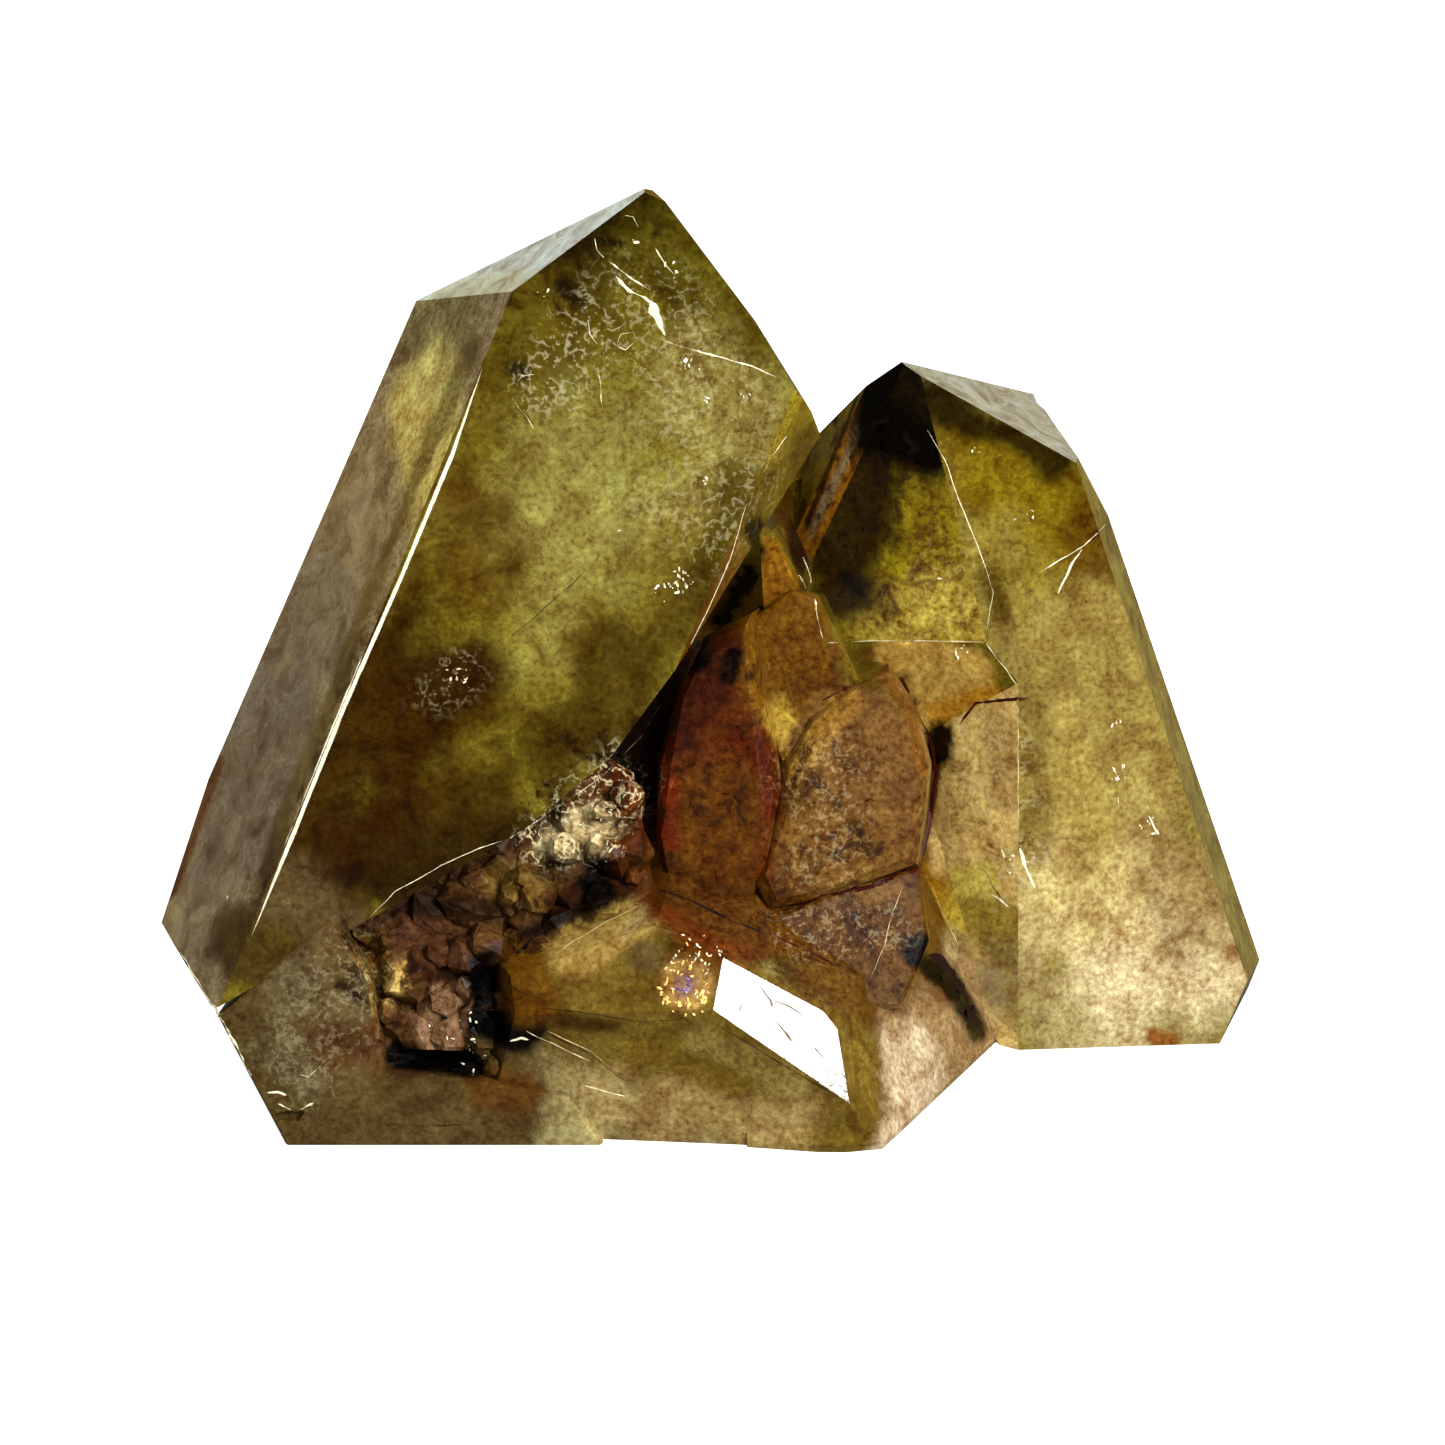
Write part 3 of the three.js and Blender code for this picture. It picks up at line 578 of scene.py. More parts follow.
# The pieces that the cracks and flakes make, what fills them, and the flakes' size, flatness and seed
CRACKS = (
    ("white_cracks_and_highlights", WHITE_CRACKS_AND_HIGHLIGHTS, "healed_crack_and_highlight"),
    ("rust_and_shade_seams", RUST_AND_SHADE_SEAMS, "rust_and_shade_seam"),
    ("dark_creases", DARK_CREASES, "dark_crease"),
    ("beige_seams_and_highlights", BEIGE_SEAMS_AND_HIGHLIGHTS, "beige_seam_and_highlight"),
    ("mirror_cracks", MIRROR_CRACKS, "mirror_crack"),
)
Flakes = namedtuple("Flakes", "name clusters filling size flatness seed")
FLAKES = rows(
    Flakes,
    ("pale_flakes_and_glints", PALE_FLAKES_AND_GLINTS, "healed_crack_and_highlight", 0.52 * MM, 0.25, 3),
    ("gold_flakes", GOLD_FLAKES, "gold_glint", 0.6 * MM, 0.3, 5),
    ("violet_flakes", VIOLET_FLAKES, "violet_glint", 0.55 * MM, 0.3, 8),
)

# Where a ray down a pixel meets the stone: the place, the surface's direction and the crystal face
Hit = namedtuple("Hit", "place normal facet")


def linear(colour):
    """The linear value of a colour that is given in hundredths, as the eye sees it on a screen."""
    shares = [c / 100 for c in colour]
    return tuple(c / 12.92 if c <= 0.04045 else ((c + 0.055) / 1.055) ** 2.4 for c in shares)


def smooth(value):
    """Eases a value or array from 0 to 1."""
    held = np.clip(value, 0, 1)
    return held * held * (3 - 2 * held)


def laid_over(under, tone, cover):
    """Colours with a tone laid over them, as far as each one's cover says."""
    share = cover[:, None]
    return under * (1 - share) + np.array(linear(tone)) * share


def add_object(name, data):
    """A new object in the scene."""
    made = bpy.data.objects.new(name, data)
    bpy.context.scene.collection.objects.link(made)
    return made


def finished_shape(shape, name):
    """The mesh of a shape that is drawn to its end."""
    mesh = bpy.data.meshes.new(name)
    shape.to_mesh(mesh)
    shape.free()
    return mesh


def feed(tree, socket, value):
    """Joins another node's output to a socket, or sets the socket to a plain value."""
    if isinstance(value, bpy.types.NodeSocket):
        tree.links.new(value, socket)
    else:
        socket.default_value = value


def add_node(tree, kind, inputs=None, **settings):
    """A node of that kind, with its settings and its inputs, set beside the last one."""
    made = tree.nodes.new(kind)
    made.location.x = NODE_SPACING * len(tree.nodes)
    for name, value in settings.items():
        setattr(made, name, value)
    for label, value in (inputs or {}).items():
        feed(tree, made.inputs[label], value)
    return made


def work_out(tree, operation, *values, kind="ShaderNodeMath"):
    """The result of a sum with plain numbers or other nodes' outputs."""
    return add_node(tree, kind, dict(enumerate(values)), operation=operation).outputs[0]


def work_out_colour(tree, operation, *values):
    """The result of the same sum on each part of a colour."""
    return work_out(tree, operation, *values, kind="ShaderNodeVectorMath")


def carry(tree, value, before, after=(0, 1), easing="LINEAR"):
    """A value carried from one range to another, and held inside it."""
    ranges = dict(zip(("From Min", "From Max", "To Min", "To Max"), (*before, *after)))
    inputs = {"Value": value, **ranges}
    return add_node(tree, "ShaderNodeMapRange", inputs, interpolation_type=easing).outputs["Result"]


def mix_over(tree, share, under, over):
    """A colour with another mixed over it, as far as a mask says."""
    inputs = {"Factor": share, "A": under, "B": over}
    return add_node(tree, "ShaderNodeMix", inputs, data_type="RGBA").outputs["Result"]


def cloud_noise(tree, size, detail, roughness, swirl=0):
    """Noise in the stone with lumps of about that size."""
    inputs = {"Vector": add_node(tree, "ShaderNodeTexCoord").outputs["Object"],
              "Scale": work_out(tree, "DIVIDE", 1, size),
              "Detail": detail, "Roughness": roughness, "Distortion": swirl}
    return add_node(tree, "ShaderNodeTexNoise", inputs).outputs["Fac"]


def mirrored_rays(tree):
    """1 for rays that a surface has mirrored, and 0 for the others."""
    rays = add_node(tree, "ShaderNodeLightPath").outputs
    return work_out(tree, "MULTIPLY", rays["Is Glossy Ray"], rays["Is Reflection Ray"])


def new_material(name):
    """An empty node material, its nodes and the inputs of its output."""
    material = bpy.data.materials.new(name)
    material.use_nodes = True
    material.node_tree.nodes.clear()
    return material, material.node_tree, add_node(material.node_tree, "ShaderNodeOutputMaterial").inputs


def new_group(name, inputs, outputs):
    """An empty shader group with colour or number sockets, what comes in and what goes out."""
    group = bpy.data.node_groups.new(name, "ShaderNodeTree")
    for way, labels in (("INPUT", inputs), ("OUTPUT", outputs)):
        for label in labels:
            kind = "NodeSocketColor" if label == "Color" else "NodeSocketFloat"
            group.interface.new_socket(label, in_out=way, socket_type=kind)
    return group, add_node(group, "NodeGroupInput").outputs, add_node(group, "NodeGroupOutput").inputs


def use_group(tree, group, inputs):
    """The outputs of a group that is placed with these inputs."""
    return add_node(tree, "ShaderNodeGroup", inputs, node_tree=group).outputs


def grain_group():
    """Lightens and darkens a colour with a fine grain and with clumps about a millimetre wide."""
    group, entry, leave = new_group(
        "quartz_grain", ("Color", "Grain Size", "Grain Depth", "Clump Size", "Clump Depth"),
        ("Color", "Height", "Clump"))
    product = entry["Color"]
    for label, height, detail, swirl in (("Grain", "Height", GRAIN_DETAIL, 0),
                                         ("Clump", "Clump", CLUMP_DETAIL, CLUMP_SWIRL)):
        cloud = cloud_noise(group, entry[label + " Size"], detail, GRAIN_ROUGHNESS, swirl)
        spread = work_out(group, "MULTIPLY_ADD", cloud, GRAIN_STRETCH, -GRAIN_STRETCH / 2)
        swing = work_out(group, "MULTIPLY", spread, entry[label + " Depth"])
        tint = work_out_colour(group, "MULTIPLY_ADD", swing, GRAIN_TINT, (1, 1, 1))
        held = work_out_colour(group, "MAXIMUM", tint, GRAIN_DARKEST)
        product = work_out_colour(group, "MULTIPLY", product, held)
        feed(group, leave[height], cloud)
    feed(group, leave["Color"], product)
    return group


def thread_group():
    """A mask of fine curly threads, as healed cracks draw in quartz."""
    group, entry, leave = new_group("curly_threads", ("Size", "Width"), ("Mask",))
    cloud = cloud_noise(group, entry["Size"], THREAD_DETAIL, THREAD_ROUGHNESS)
    away = work_out(group, "ABSOLUTE", work_out(group, "SUBTRACT", cloud, 0.5))
    feed(group, leave["Mask"], carry(group, away, (0, entry["Width"]), (1, 0), "SMOOTHSTEP"))
    return group


def painted_group(grain, threads):
    """The painted tones of the stone under its grain, with pale threads and dark pits where marked."""
    sizes = ("Grain Size", "Clump Size", "Clump Depth")
    group, entry, leave = new_group(
        "painted_stone", (*sizes, "Grain Depth", "Thread Size"), ("Color", "Height"))
    tone = add_node(group, "ShaderNodeAttribute", attribute_name="tone").outputs["Color"]
    marks = add_node(group, "ShaderNodeAttribute", attribute_name="marks").outputs["Color"]
    veils, specks, calm = add_node(group, "ShaderNodeSeparateColor", {0: marks}).outputs
    lively = work_out(group, "MULTIPLY_ADD", calm, -1, 1)
    depth = work_out(group, "MULTIPLY", lively, entry["Grain Depth"])
    speckled = use_group(group, grain, {
        "Color": tone, "Grain Depth": depth, **{label: entry[label] for label in sizes}})
    curls = use_group(group, threads, {"Size": entry["Thread Size"], "Width": THREAD_WIDTH})["Mask"]
    bits = work_out(group, "MULTIPLY", curls, carry(group, speckled["Height"], THREAD_BREAKS))
    pale = work_out(group, "MAXIMUM", bits, carry(group, speckled["Height"], FLECK_RANGE))
    veil = work_out(group, "MULTIPLY", pale, veils)
    lively_specks = work_out(group, "MULTIPLY", specks, lively)
    pits = work_out(group, "MULTIPLY", carry(group, speckled["Clump"], PIT_RANGE), lively_specks)
    pitted = mix_over(group, pits, speckled["Color"], PIT_COLOUR)
    feed(group, leave["Color"], mix_over(group, veil, pitted, VEIL_COLOUR))
    feed(group, leave["Height"], speckled["Height"])
    return group


def stone_material(finish, painted):
    """Painted stone, either clear quartz that darkens with depth or opaque, as the stained stone and the
    painted shade of gaps and hollows are.
    """
    material, tree, output = new_material(finish.name)
    paint = use_group(tree, painted, finish.grain)
    relief = add_node(tree, "ShaderNodeBump", {
        "Strength": finish.relief, "Distance": finish.relief_depth, "Height": paint["Height"]})
    shader = add_node(tree, "ShaderNodeBsdfPrincipled", {
        "IOR": QUARTZ_IOR, "Transmission Weight": finish.clear, "Specular IOR Level": GLOSS_LEVEL,
        "Base Color": paint["Color"], "Normal": relief.outputs["Normal"],
        "Roughness": carry(tree, paint["Height"], DULL_RANGE, finish.dull)})
    feed(tree, output["Surface"], shader.outputs[0])
    if finish.clear:
        depth = add_node(tree, "ShaderNodeVolumeAbsorption", {
            "Color": DEPTH_COLOUR, "Density": DEPTH_DENSITY})
        feed(tree, output["Volume"], depth.outputs[0])
    return material


def seam_material(name, colour, roughness, grain_depth, grain):
    """An opaque filling for cracks, seams and flakes, and for the painted highlight and shade lines, with the
    stone's grain in it.
    """
    material, tree, output = new_material(name)
    speckled = use_group(tree, grain, {
        "Color": (*linear(colour), 1), "Grain Size": FILLING_GRAIN, "Grain Depth": grain_depth,
        "Clump Size": FILLING_CLUMP, "Clump Depth": grain_depth / 2})
    shader = add_node(tree, "ShaderNodeBsdfPrincipled", {
        "Base Color": speckled["Color"], "Roughness": roughness, "Specular IOR Level": GLOSS_LEVEL})
    feed(tree, output["Surface"], shader.outputs[0])
    return material


def floor_material():
    """The pale floor, which glows to the camera and which the stone hardly mirrors."""
    material, tree, output = new_material("pale_floor")
    to_camera = add_node(tree, "ShaderNodeLightPath").outputs["Is Camera Ray"]
    pale = add_node(tree, "ShaderNodeBsdfPrincipled", {
        "Base Color": FLOOR_COLOUR, "Roughness": FLOOR_ROUGHNESS, "Specular IOR Level": FLOOR_GLOSS,
        "Emission Color": WHITE, "Emission Strength": work_out(tree, "MULTIPLY", to_camera, FLOOR_GLOW)})
    dark = add_node(tree, "ShaderNodeBsdfDiffuse", {"Color": BLACK})
    lost = work_out(tree, "MULTIPLY", mirrored_rays(tree), 1 - MIRRORED_SHARE)
    seen = add_node(tree, "ShaderNodeMixShader", {0: lost, 1: pale.outputs[0], 2: dark.outputs[0]})
    feed(tree, output["Surface"], seen.outputs[0])
    return material


def set_floor():
    """The plain pale floor."""
    shape = bmesh.new()
    bmesh.ops.create_circle(shape, cap_ends=True, segments=FLOOR_SIDES, radius=FLOOR_RADIUS)
    floor = add_object("floor", finished_shape(shape, "floor"))
    floor.location.z = -FLOOR_GAP
    floor.data.materials.append(floor_material())


def set_world():
    """A pale studio, brighter behind the cluster and above it than on the viewer's side."""
    world = bpy.data.worlds.new("studio")
    world.use_nodes = True
    tree = world.node_tree
    tree.nodes.clear()
    view = add_node(tree, "ShaderNodeTexCoord").outputs["Generated"]
    axes = add_node(tree, "ShaderNodeSeparateXYZ", {0: view}).outputs
    behind = carry(tree, axes["Y"], *STUDIO_BEHIND, "SMOOTHSTEP")
    above = carry(tree, axes["Z"], *STUDIO_ABOVE, "SMOOTHSTEP")
    kept = work_out(tree, "MULTIPLY_ADD", mirrored_rays(tree), MIRRORED_SHARE - 1, 1)
    strength = work_out(tree, "MULTIPLY", work_out(tree, "ADD", behind, above), kept)
    light = add_node(tree, "ShaderNodeBackground", {"Color": STUDIO_COLOUR, "Strength": strength})
    add_node(tree, "ShaderNodeOutputWorld", {"Surface": light.outputs[0]})
    bpy.context.scene.world = world


def set_lamp(lamp):
    """A soft square lamp that faces the cluster."""
    data = bpy.data.lights.new(lamp.name, "AREA")
    data.shape = "RECTANGLE"
    data.size, data.size_y = lamp.size
    data.energy = lamp.radiance * math.pi * data.size * data.size_y
    panel = add_object(lamp.name, data)
    panel.visible_glossy = lamp.mirrored
    direction = Vector(lamp.towards).normalized()
    panel.location = Vector(lamp.aim) * MM + direction * lamp.distance
    panel.rotation_euler = direction.to_track_quat("Z", "Y").to_euler()


def set_camera():
    """The camera at the photograph's viewing angle."""
    away = Vector((0, -math.cos(CAMERA_ELEVATION), math.sin(CAMERA_ELEVATION)))
    data = bpy.data.cameras.new("camera")
    data.lens = CAMERA_LENS
    data.sensor_width = CAMERA_SENSOR
    data.clip_start = CAMERA_NEAREST
    camera = add_object("camera", data)
    camera.location = CAMERA_TARGET + away * CAMERA_DISTANCE
    camera.rotation_euler = (math.pi / 2 - CAMERA_ELEVATION, 0, 0)
    bpy.context.scene.camera = camera
    bpy.context.view_layer.update()
    return camera


def sight_line(camera, pixel):
    """Where the camera stands and the direction in which it sees a pixel of the photograph."""
    span = CAMERA_SENSOR / CAMERA_LENS
    across = (pixel[0] / PHOTO_SIZE - 0.5) * span
    up = (0.5 - pixel[1] / PHOTO_SIZE) * span
    turned = camera.matrix_world.to_3x3() @ Vector((across, up, -1))
    return camera.matrix_world.translation, turned.normalized()


def finished_mesh(work, name):
    """A plain mesh of the object with its modifiers applied, in an object of its own."""
    seen = work.evaluated_get(bpy.context.evaluated_depsgraph_get())
    mesh = bpy.data.meshes.new_from_object(seen)
    mesh.name = name
    old = work.data
    bpy.data.objects.remove(work)
    bpy.data.meshes.remove(old)
    return add_object(name, mesh)


def worn_cluster():
    """The whole cluster, from the CAD node's own faces, with worn edges as its second material."""
    shape = bmesh.new()
    shape.from_mesh(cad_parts["citrine_cluster"].data)
    bmesh.ops.remove_doubles(shape, verts=shape.verts, dist=WELD_GAP)
    bmesh.ops.dissolve_limit(shape, angle_limit=FLAT_ANGLE, verts=shape.verts, edges=shape.edges)
    for face in shape.faces:
        face.material_index = 0
    mesh = finished_shape(shape, "work")
    mesh.materials.clear()
    for name in ("face", "edge"):
        mesh.materials.append(bpy.data.materials.new(name))
    work = add_object("work", mesh)
    bevel = work.modifiers.new("worn", "BEVEL")
    bevel.width = EDGE_WEAR
    bevel.segments = 1
    bevel.limit_method = "ANGLE"
    bevel.angle_limit = SHARP_ANGLE
    bevel.material = 1
    return finished_mesh(work, "crystal_cluster")


def number_facets(shape):
    """Gives each crystal face a number, kept on the mesh faces that it is made of."""
    layer = shape.faces.layers.int.new("facet")
    shape.normal_update()
    count = 0
    for seed in sorted(shape.faces, key=lambda f: -f.calc_area()):
        if seed[layer]:
            continue
        count += 1
        seed[layer] = count
        found = [seed]
        while found:
            face = found.pop()
            for edge in face.edges:
                for other in edge.link_faces:
                    if not other[layer] and other.normal.angle(seed.normal, math.pi) < FACET_SPREAD:
                        other[layer] = count
                        found.append(other)
    return layer


def cut_long_edges(places, faces, numbers, step):
    """Halves every edge longer than its faces' step, and the faces with it, until none is left."""
    while True:
        sides = np.sort(np.stack([faces, np.roll(faces, -1, axis=1)], axis=2).reshape(-1, 2), axis=1)
        edges, edge_of = np.unique(sides, axis=0, return_inverse=True)
        edge_of = edge_of.reshape(-1, 3)
        limit = np.full(len(edges), np.inf)
        np.minimum.at(limit, edge_of.ravel(), np.repeat(step, 3))
        cut = np.linalg.norm(places[edges[:, 0]] - places[edges[:, 1]], axis=1) > limit
        if not cut.any():
            return places, faces, numbers
        middle = np.full(len(edges), -1)
        middle[cut] = len(places) + np.arange(cut.sum())
        places = np.vstack([places, places[edges[cut]].mean(axis=1)])
        halves = middle[edge_of]
        marked = halves >= 0
        count = marked.sum(axis=1)
        # Turns each face so that its first side is cut, and its last is not if two are
        turn = np.where(count == 2, (np.argmin(marked, axis=1) + 1) % 3, np.argmax(marked, axis=1))
        order = (turn[:, None] + np.arange(3)) % 3
        a, b, c = np.take_along_axis(faces, order, axis=1).T
        ab, bc, ca = np.take_along_axis(halves, order, axis=1).T
        # What a face becomes where none, one, two or three of its sides are cut
        wholes = (((a, b, c),), ((a, ab, c), (ab, b, c)), ((ab, b, bc), (a, ab, bc), (a, bc, c)),
                  ((a, ab, ca), (ab, b, bc), (ca, bc, c), (ab, bc, ca)))
        made = []
        for wanted, pieces in enumerate(wholes):
            chosen = np.flatnonzero(count == wanted)
            made += [(np.stack(piece, axis=1)[chosen], chosen) for piece in pieces]
        faces, owner = [np.concatenate(column) for column in zip(*made)]
        numbers = numbers[owner]
        step = step[owner]


def line_distance(points, line):
    """How far each point is from a line through the given places."""
    nearest = np.full(len(points), np.inf)
    ends = line[1:] if len(line) > 1 else line
    for start, end in zip(line, ends):
        along = end - start
        span = max(along @ along, TINY)
        share = np.clip((points - start) @ along / span, 0, 1)
        nearest = np.minimum(nearest, np.linalg.norm(points - start - share[:, None] * along, axis=1))
    return nearest


class Painter:
    """Lays patches of colour over the corners of the fine mesh."""

    def __init__(self, places, faces, numbers, seen_at, sight):
        self.seen_at = seen_at
        self.sight = np.array(sight)
        self.places = places
        self.vertex = faces.ravel()
        self.facet = np.repeat(numbers[:, 0], 3)
        self.edge = np.repeat(numbers[:, 1], 3) == 1
        self.sway = np.array([self.wander(Vector(p)) for p in places])

    @staticmethod
    def wander(place):
        """A wobble between about -1 and 1 that frays a patch's border."""
        return SWAY_HEIGHT * noise.fractal(place / SWAY_WAVE + SWAY_SHIFT, *SWAY_FINENESS)

    def flat(self, places):
        """The places drawn together along the line of sight."""
        along = (places @ self.sight)[:, None] * self.sight
        return places - along * (1 - 1 / SIGHT_STRETCH)

    def share(self, patch, stays):
        """How much of each corner a patch covers."""
        hits = [self.seen_at(pixel) for pixel in patch.line]
        line = np.array([hit.place for hit in hits])
        if stays:
            distance = line_distance(self.places, line)
        else:
            distance = line_distance(self.flat(self.places), self.flat(line))
        fraction = 1 - (distance - patch.reach * MM) / (patch.fade * MM) + SWAY_SHARE * self.sway
        cover = smooth(fraction)[self.vertex] * patch.cover
        if stays:
            on_face = np.isin(self.facet, [hit.facet for hit in hits])
            on_edge = self.edge & (distance[self.vertex] < EDGE_REACH)
            cover = np.where(on_face | on_edge, cover, 0)
        return cover

    def tones(self):
        """The stone's colour at each corner, and whether its crystal face is opaque: stained, or near-black
        with painted shade in a gap or hollow.
        """
        cloud = np.array([noise.noise(Vector(p) / CLOUD_SIZE) for p in self.places])
        height = self.places[:, 2] / FOOT_HEIGHT + FOOT_SWAY * self.sway
        colour = np.tile(linear(BODY_TONE), (len(self.places), 1))
        colour = laid_over(colour, CLOUD_TONE, smooth(0.5 + CLOUD_EDGE * cloud) * CLOUD_COVER)
        colour = laid_over(colour, FOOT_TONE, smooth(1 - height) * FOOT_COVER)[self.vertex]
        stain_and_shade = np.zeros(len(self.vertex))
        for stays, patches in ((False, THROUGH), (True, ON_FACES), (False, GAPS)):
            for patch in patches:
                cover = self.share(patch, stays)
                if patch.name in STAINED_AND_SHADED:
                    stain_and_shade = np.maximum(stain_and_shade, cover)
                colour = laid_over(colour, patch.colour, cover)
        count = np.maximum(np.bincount(self.facet), 1)
        stained_and_shaded = (np.bincount(self.facet, stain_and_shade) / count > STAINED_AND_SHADED_SHARE)[self.facet]
        gain = np.where(stained_and_shaded[:, None], STAIN_AND_SHADE_GAIN, PAINT_GAIN)
        return np.minimum(colour * gain, PAINT_LIMIT), stained_and_shaded

    def marks(self):
        """How many veils and dark specks each corner has, and how calm its grain is."""
        amount = np.zeros((len(self.vertex), 3))
        for channel, patches in enumerate((VEILS, SPECKS, CALM)):
            for patch in patches:
                share = self.share(patch, patches is CALM)
                amount[:, channel] = np.maximum(amount[:, channel], share)
        return amount


def paint_cluster(body, camera):
    """Cuts the body's faces up and paints the tones and marks on them."""
    shape = bmesh.new()
    shape.from_mesh(body.data)
    layer = number_facets(shape)
    bmesh.ops.triangulate(shape, faces=shape.faces)
    shape.faces.ensure_lookup_table()
    shape.verts.ensure_lookup_table()
    tree = BVHTree.FromBMesh(shape)
    towards = (camera.matrix_world.translation - CAMERA_TARGET).normalized()
    places = np.array([vertex.co for vertex in shape.verts])
    faces = np.array([[vertex.index for vertex in face.verts] for face in shape.faces])
    numbers = np.array([(face[layer], face.material_index) for face in shape.faces])
    facing = np.array([face.normal.dot(towards) > 0 for face in shape.faces])
    facets = numbers[:, 0].copy()
    shape.free()

    def seen_at(pixel):
        """What the photograph shows at a pixel, or else the stone nearest to it."""
        start, direction = sight_line(camera, pixel)
        place, normal, index, distance = tree.ray_cast(start, direction)
        if place is None:
            place, normal, index, distance = tree.find_nearest(start + direction * CAMERA_DISTANCE)
        return Hit(np.array(place), normal, facets[index])

    away = (places[faces].mean(axis=1) - np.array(DETAIL_MIDDLE)) / np.array(DETAIL_REACH)
    detailed = np.linalg.norm(away, axis=1) < 1
    step = np.where(facing, np.where(detailed, DETAIL_STEP, FINE_STEP), COARSE_STEP)
    places, faces, numbers = cut_long_edges(places, faces, numbers, step)
    mesh = bpy.data.meshes.new("crystal_cluster")
    mesh.from_pydata(places, [], faces)
    body.data = mesh
    painter = Painter(places, faces, numbers, seen_at, towards)
    tones, stained_and_shaded = painter.tones()
    for name, values in (("tone", tones), ("marks", painter.marks())):
        whole = np.hstack([values, np.ones((len(values), 1))])
        mesh.attributes.new(name, "FLOAT_COLOR", "CORNER").data.foreach_set("color", whole.ravel())
    mesh.polygons.foreach_set("material_index", stained_and_shaded[::3].astype(np.int32))
    return seen_at


def line_hits(line, seen_at):
    """The hits along a line, in stretches that stay on the stone's surface."""
    hits = []
    for start, end in zip(line.pixels, line.pixels[1:]):
        count = max(2, math.ceil(math.dist(start, end) / CRACK_STEP))
        for i in range(count):
            x, y = [a + (b - a) * (i / count) for a, b in zip(start, end)]
            x += CRACK_WANDER * line.ragged * noise.noise(Vector((x / CRACK_WAVE, y / CRACK_WAVE, 1)))
            hits.append(seen_at((x, y)))
    hits.append(seen_at(line.pixels[-1]))
    stretch = [hits[0]]
    for hit in hits[1:]:
        if np.linalg.norm(hit.place - stretch[-1].place) > CRACK_GAP:
            yield stretch
            stretch = []
        stretch.append(hit)
    yield stretch


def lay_crack(shape, stretch, width, rag):
    """Adds one closed ragged ribbon, sunk in the stone, to the shape."""
    last = len(stretch) - 1
    if last < 2:
        return
    places = [Vector(hit.place) for hit in stretch]
    rings = []
    for i, (place, hit) in enumerate(zip(places, stretch)):
        if i in (0, last):
            rings.append([shape.verts.new(place - hit.normal * CRACK_END_DEPTH)])
            continue
        along = (places[i + 1] - places[i - 1]).normalized()
        side = along.cross(hit.normal).normalized()
        swell = sum(gain * noise.noise(place / size) for size, gain in CRACK_SWELLS)
        ragged = max(CRACK_THINNEST, 1 - rag * (CRACK_NARROWING - CRACK_SWELL * swell))
        half = width * MM / 2 * ragged * min(1, CRACK_TAPER * (i / last), CRACK_TAPER * (1 - i / last))
        corners = ((half, -CRACK_PROUD), (0, CRACK_PROUD), (-half, -CRACK_PROUD), (0, -CRACK_DEPTH))
        rings.append([shape.verts.new(place + side * a + hit.normal * b) for a, b in corners])
    for ring, after in zip(rings, rings[1:]):
        for k in range(4):
            a, b = ring[k % len(ring)], ring[(k + 1) % len(ring)]
            c, d = after[(k + 1) % len(after)], after[k % len(after)]
            shape.faces.new(list(dict.fromkeys((a, b, c, d))))


def crack_piece(name, lines, material, seen_at):
    """All the lines of one kind as one piece: cracks and seams, and painted highlights and shade."""
    shape = bmesh.new()
    for line in lines:
        for stretch in line_hits(line, seen_at):
            lay_crack(shape, stretch, line.width, line.ragged)
    bmesh.ops.recalc_face_normals(shape, faces=shape.faces)
    piece = add_object(name, finished_shape(shape, name))
    piece.data.materials.append(material)
    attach(piece, "root")


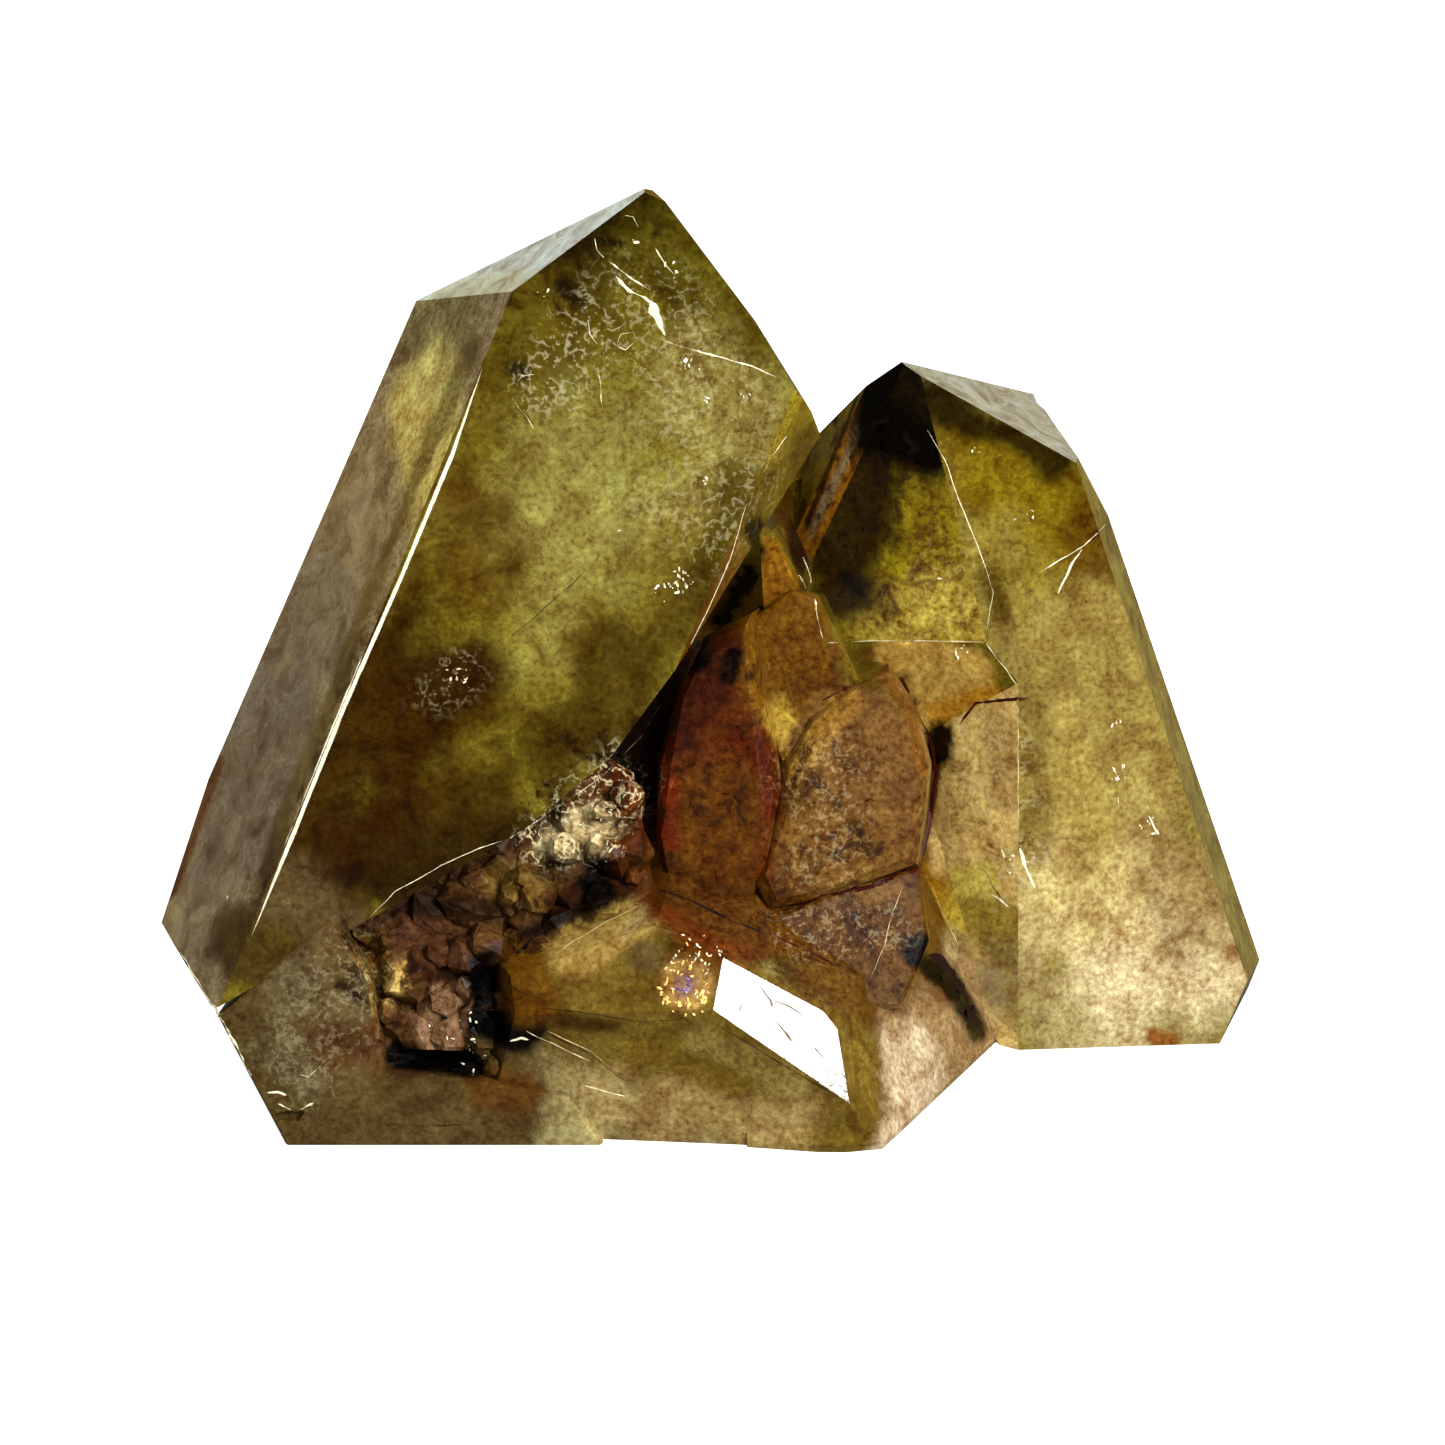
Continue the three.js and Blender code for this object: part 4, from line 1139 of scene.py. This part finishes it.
def flake_tree():
    """Sets a small turned flake on every point of a mesh."""
    tree = bpy.data.node_groups.new("flakes", "GeometryNodeTree")
    for label, kind in (("Geometry", "Geometry"), ("Size", "Float"), ("Flatness", "Float"),
                        ("Seed", "Int"), ("Material", "Material")):
        tree.interface.new_socket(label, in_out="INPUT", socket_type="NodeSocket" + kind)
    tree.interface.new_socket("Geometry", in_out="OUTPUT", socket_type="NodeSocketGeometry")
    entry = add_node(tree, "NodeGroupInput").outputs
    flake = add_node(tree, "GeometryNodeMeshIcoSphere", {"Radius": 0.5, "Subdivisions": 1})
    form = add_node(tree, "ShaderNodeCombineXYZ", {
        "X": 1, "Y": FLAKE_BREADTH, "Z": entry["Flatness"]})
    pressed = add_node(tree, "GeometryNodeTransform", {
        "Geometry": flake.outputs["Mesh"], "Scale": form.outputs[0]})
    turn = add_node(tree, "FunctionNodeRandomValue", {
        "Max": (math.tau,) * 3, "Seed": entry["Seed"]}, data_type="FLOAT_VECTOR")
    size = add_node(tree, "FunctionNodeRandomValue", {
        "Min": FLAKE_SMALLEST, "Max": 1, "Seed": entry["Seed"]}, data_type="FLOAT")
    placed = add_node(tree, "GeometryNodeInstanceOnPoints", {
        "Points": entry["Geometry"], "Instance": pressed.outputs[0], "Rotation": turn.outputs["Value"],
        "Scale": work_out(tree, "MULTIPLY", size.outputs["Value"], entry["Size"])})
    real = add_node(tree, "GeometryNodeRealizeInstances", {0: placed.outputs[0]})
    dressed = add_node(tree, "GeometryNodeSetMaterial", {
        "Geometry": real.outputs[0], "Material": entry["Material"]})
    add_node(tree, "NodeGroupOutput", {0: dressed.outputs[0]})
    return tree


def flake_piece(flakes, material, tree, seen_at):
    """Clusters of small flakes in the stone's surface, the pale ones painted glints, as one piece."""
    random = np.random.default_rng(flakes.seed)
    points = []
    for cluster in flakes.clusters:
        for _ in range(cluster.count):
            turn = random.uniform(0, math.tau)
            reach = cluster.inner + (cluster.outer - cluster.inner) * math.sqrt(random.uniform())
            x, y = cluster.middle
            points.append(seen_at((x + reach * math.cos(turn), y + reach * math.sin(turn))).place)
    mesh = bpy.data.meshes.new(flakes.name)
    mesh.from_pydata(points, [], [])
    work = add_object("work", mesh)
    scatter = work.modifiers.new("flakes", "NODES")
    scatter.node_group = tree
    values = {"Size": flakes.size, "Flatness": flakes.flatness, "Seed": flakes.seed,
              "Material": material}
    for socket in tree.interface.items_tree:
        if socket.in_out == "INPUT" and socket.name in values:
            scatter[socket.identifier] = values[socket.name]
    piece = finished_mesh(work, flakes.name)
    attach(piece, "root")


bpy.context.scene.view_settings.view_transform = "Standard"
camera = set_camera()
set_world()
set_floor()
for lamp in LAMPS:
    set_lamp(lamp)

grain = grain_group()
painted = painted_group(grain, thread_group())
body = worn_cluster()
seen_at = paint_cluster(body, camera)
for finish in (CLEAR_STONE, STAINED_AND_SHADED_STONE):
    body.data.materials.append(stone_material(finish, painted))
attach(body, "root")
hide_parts("citrine_cluster")

fillings = {name: seam_material(name, *look, grain) for name, look in FILLINGS.items()}
for name, lines, filling in CRACKS:
    crack_piece(name, lines, fillings[filling], seen_at)
tree = flake_tree()
for flakes in FLAKES:
    flake_piece(flakes, fillings[flakes.filling], tree, seen_at)
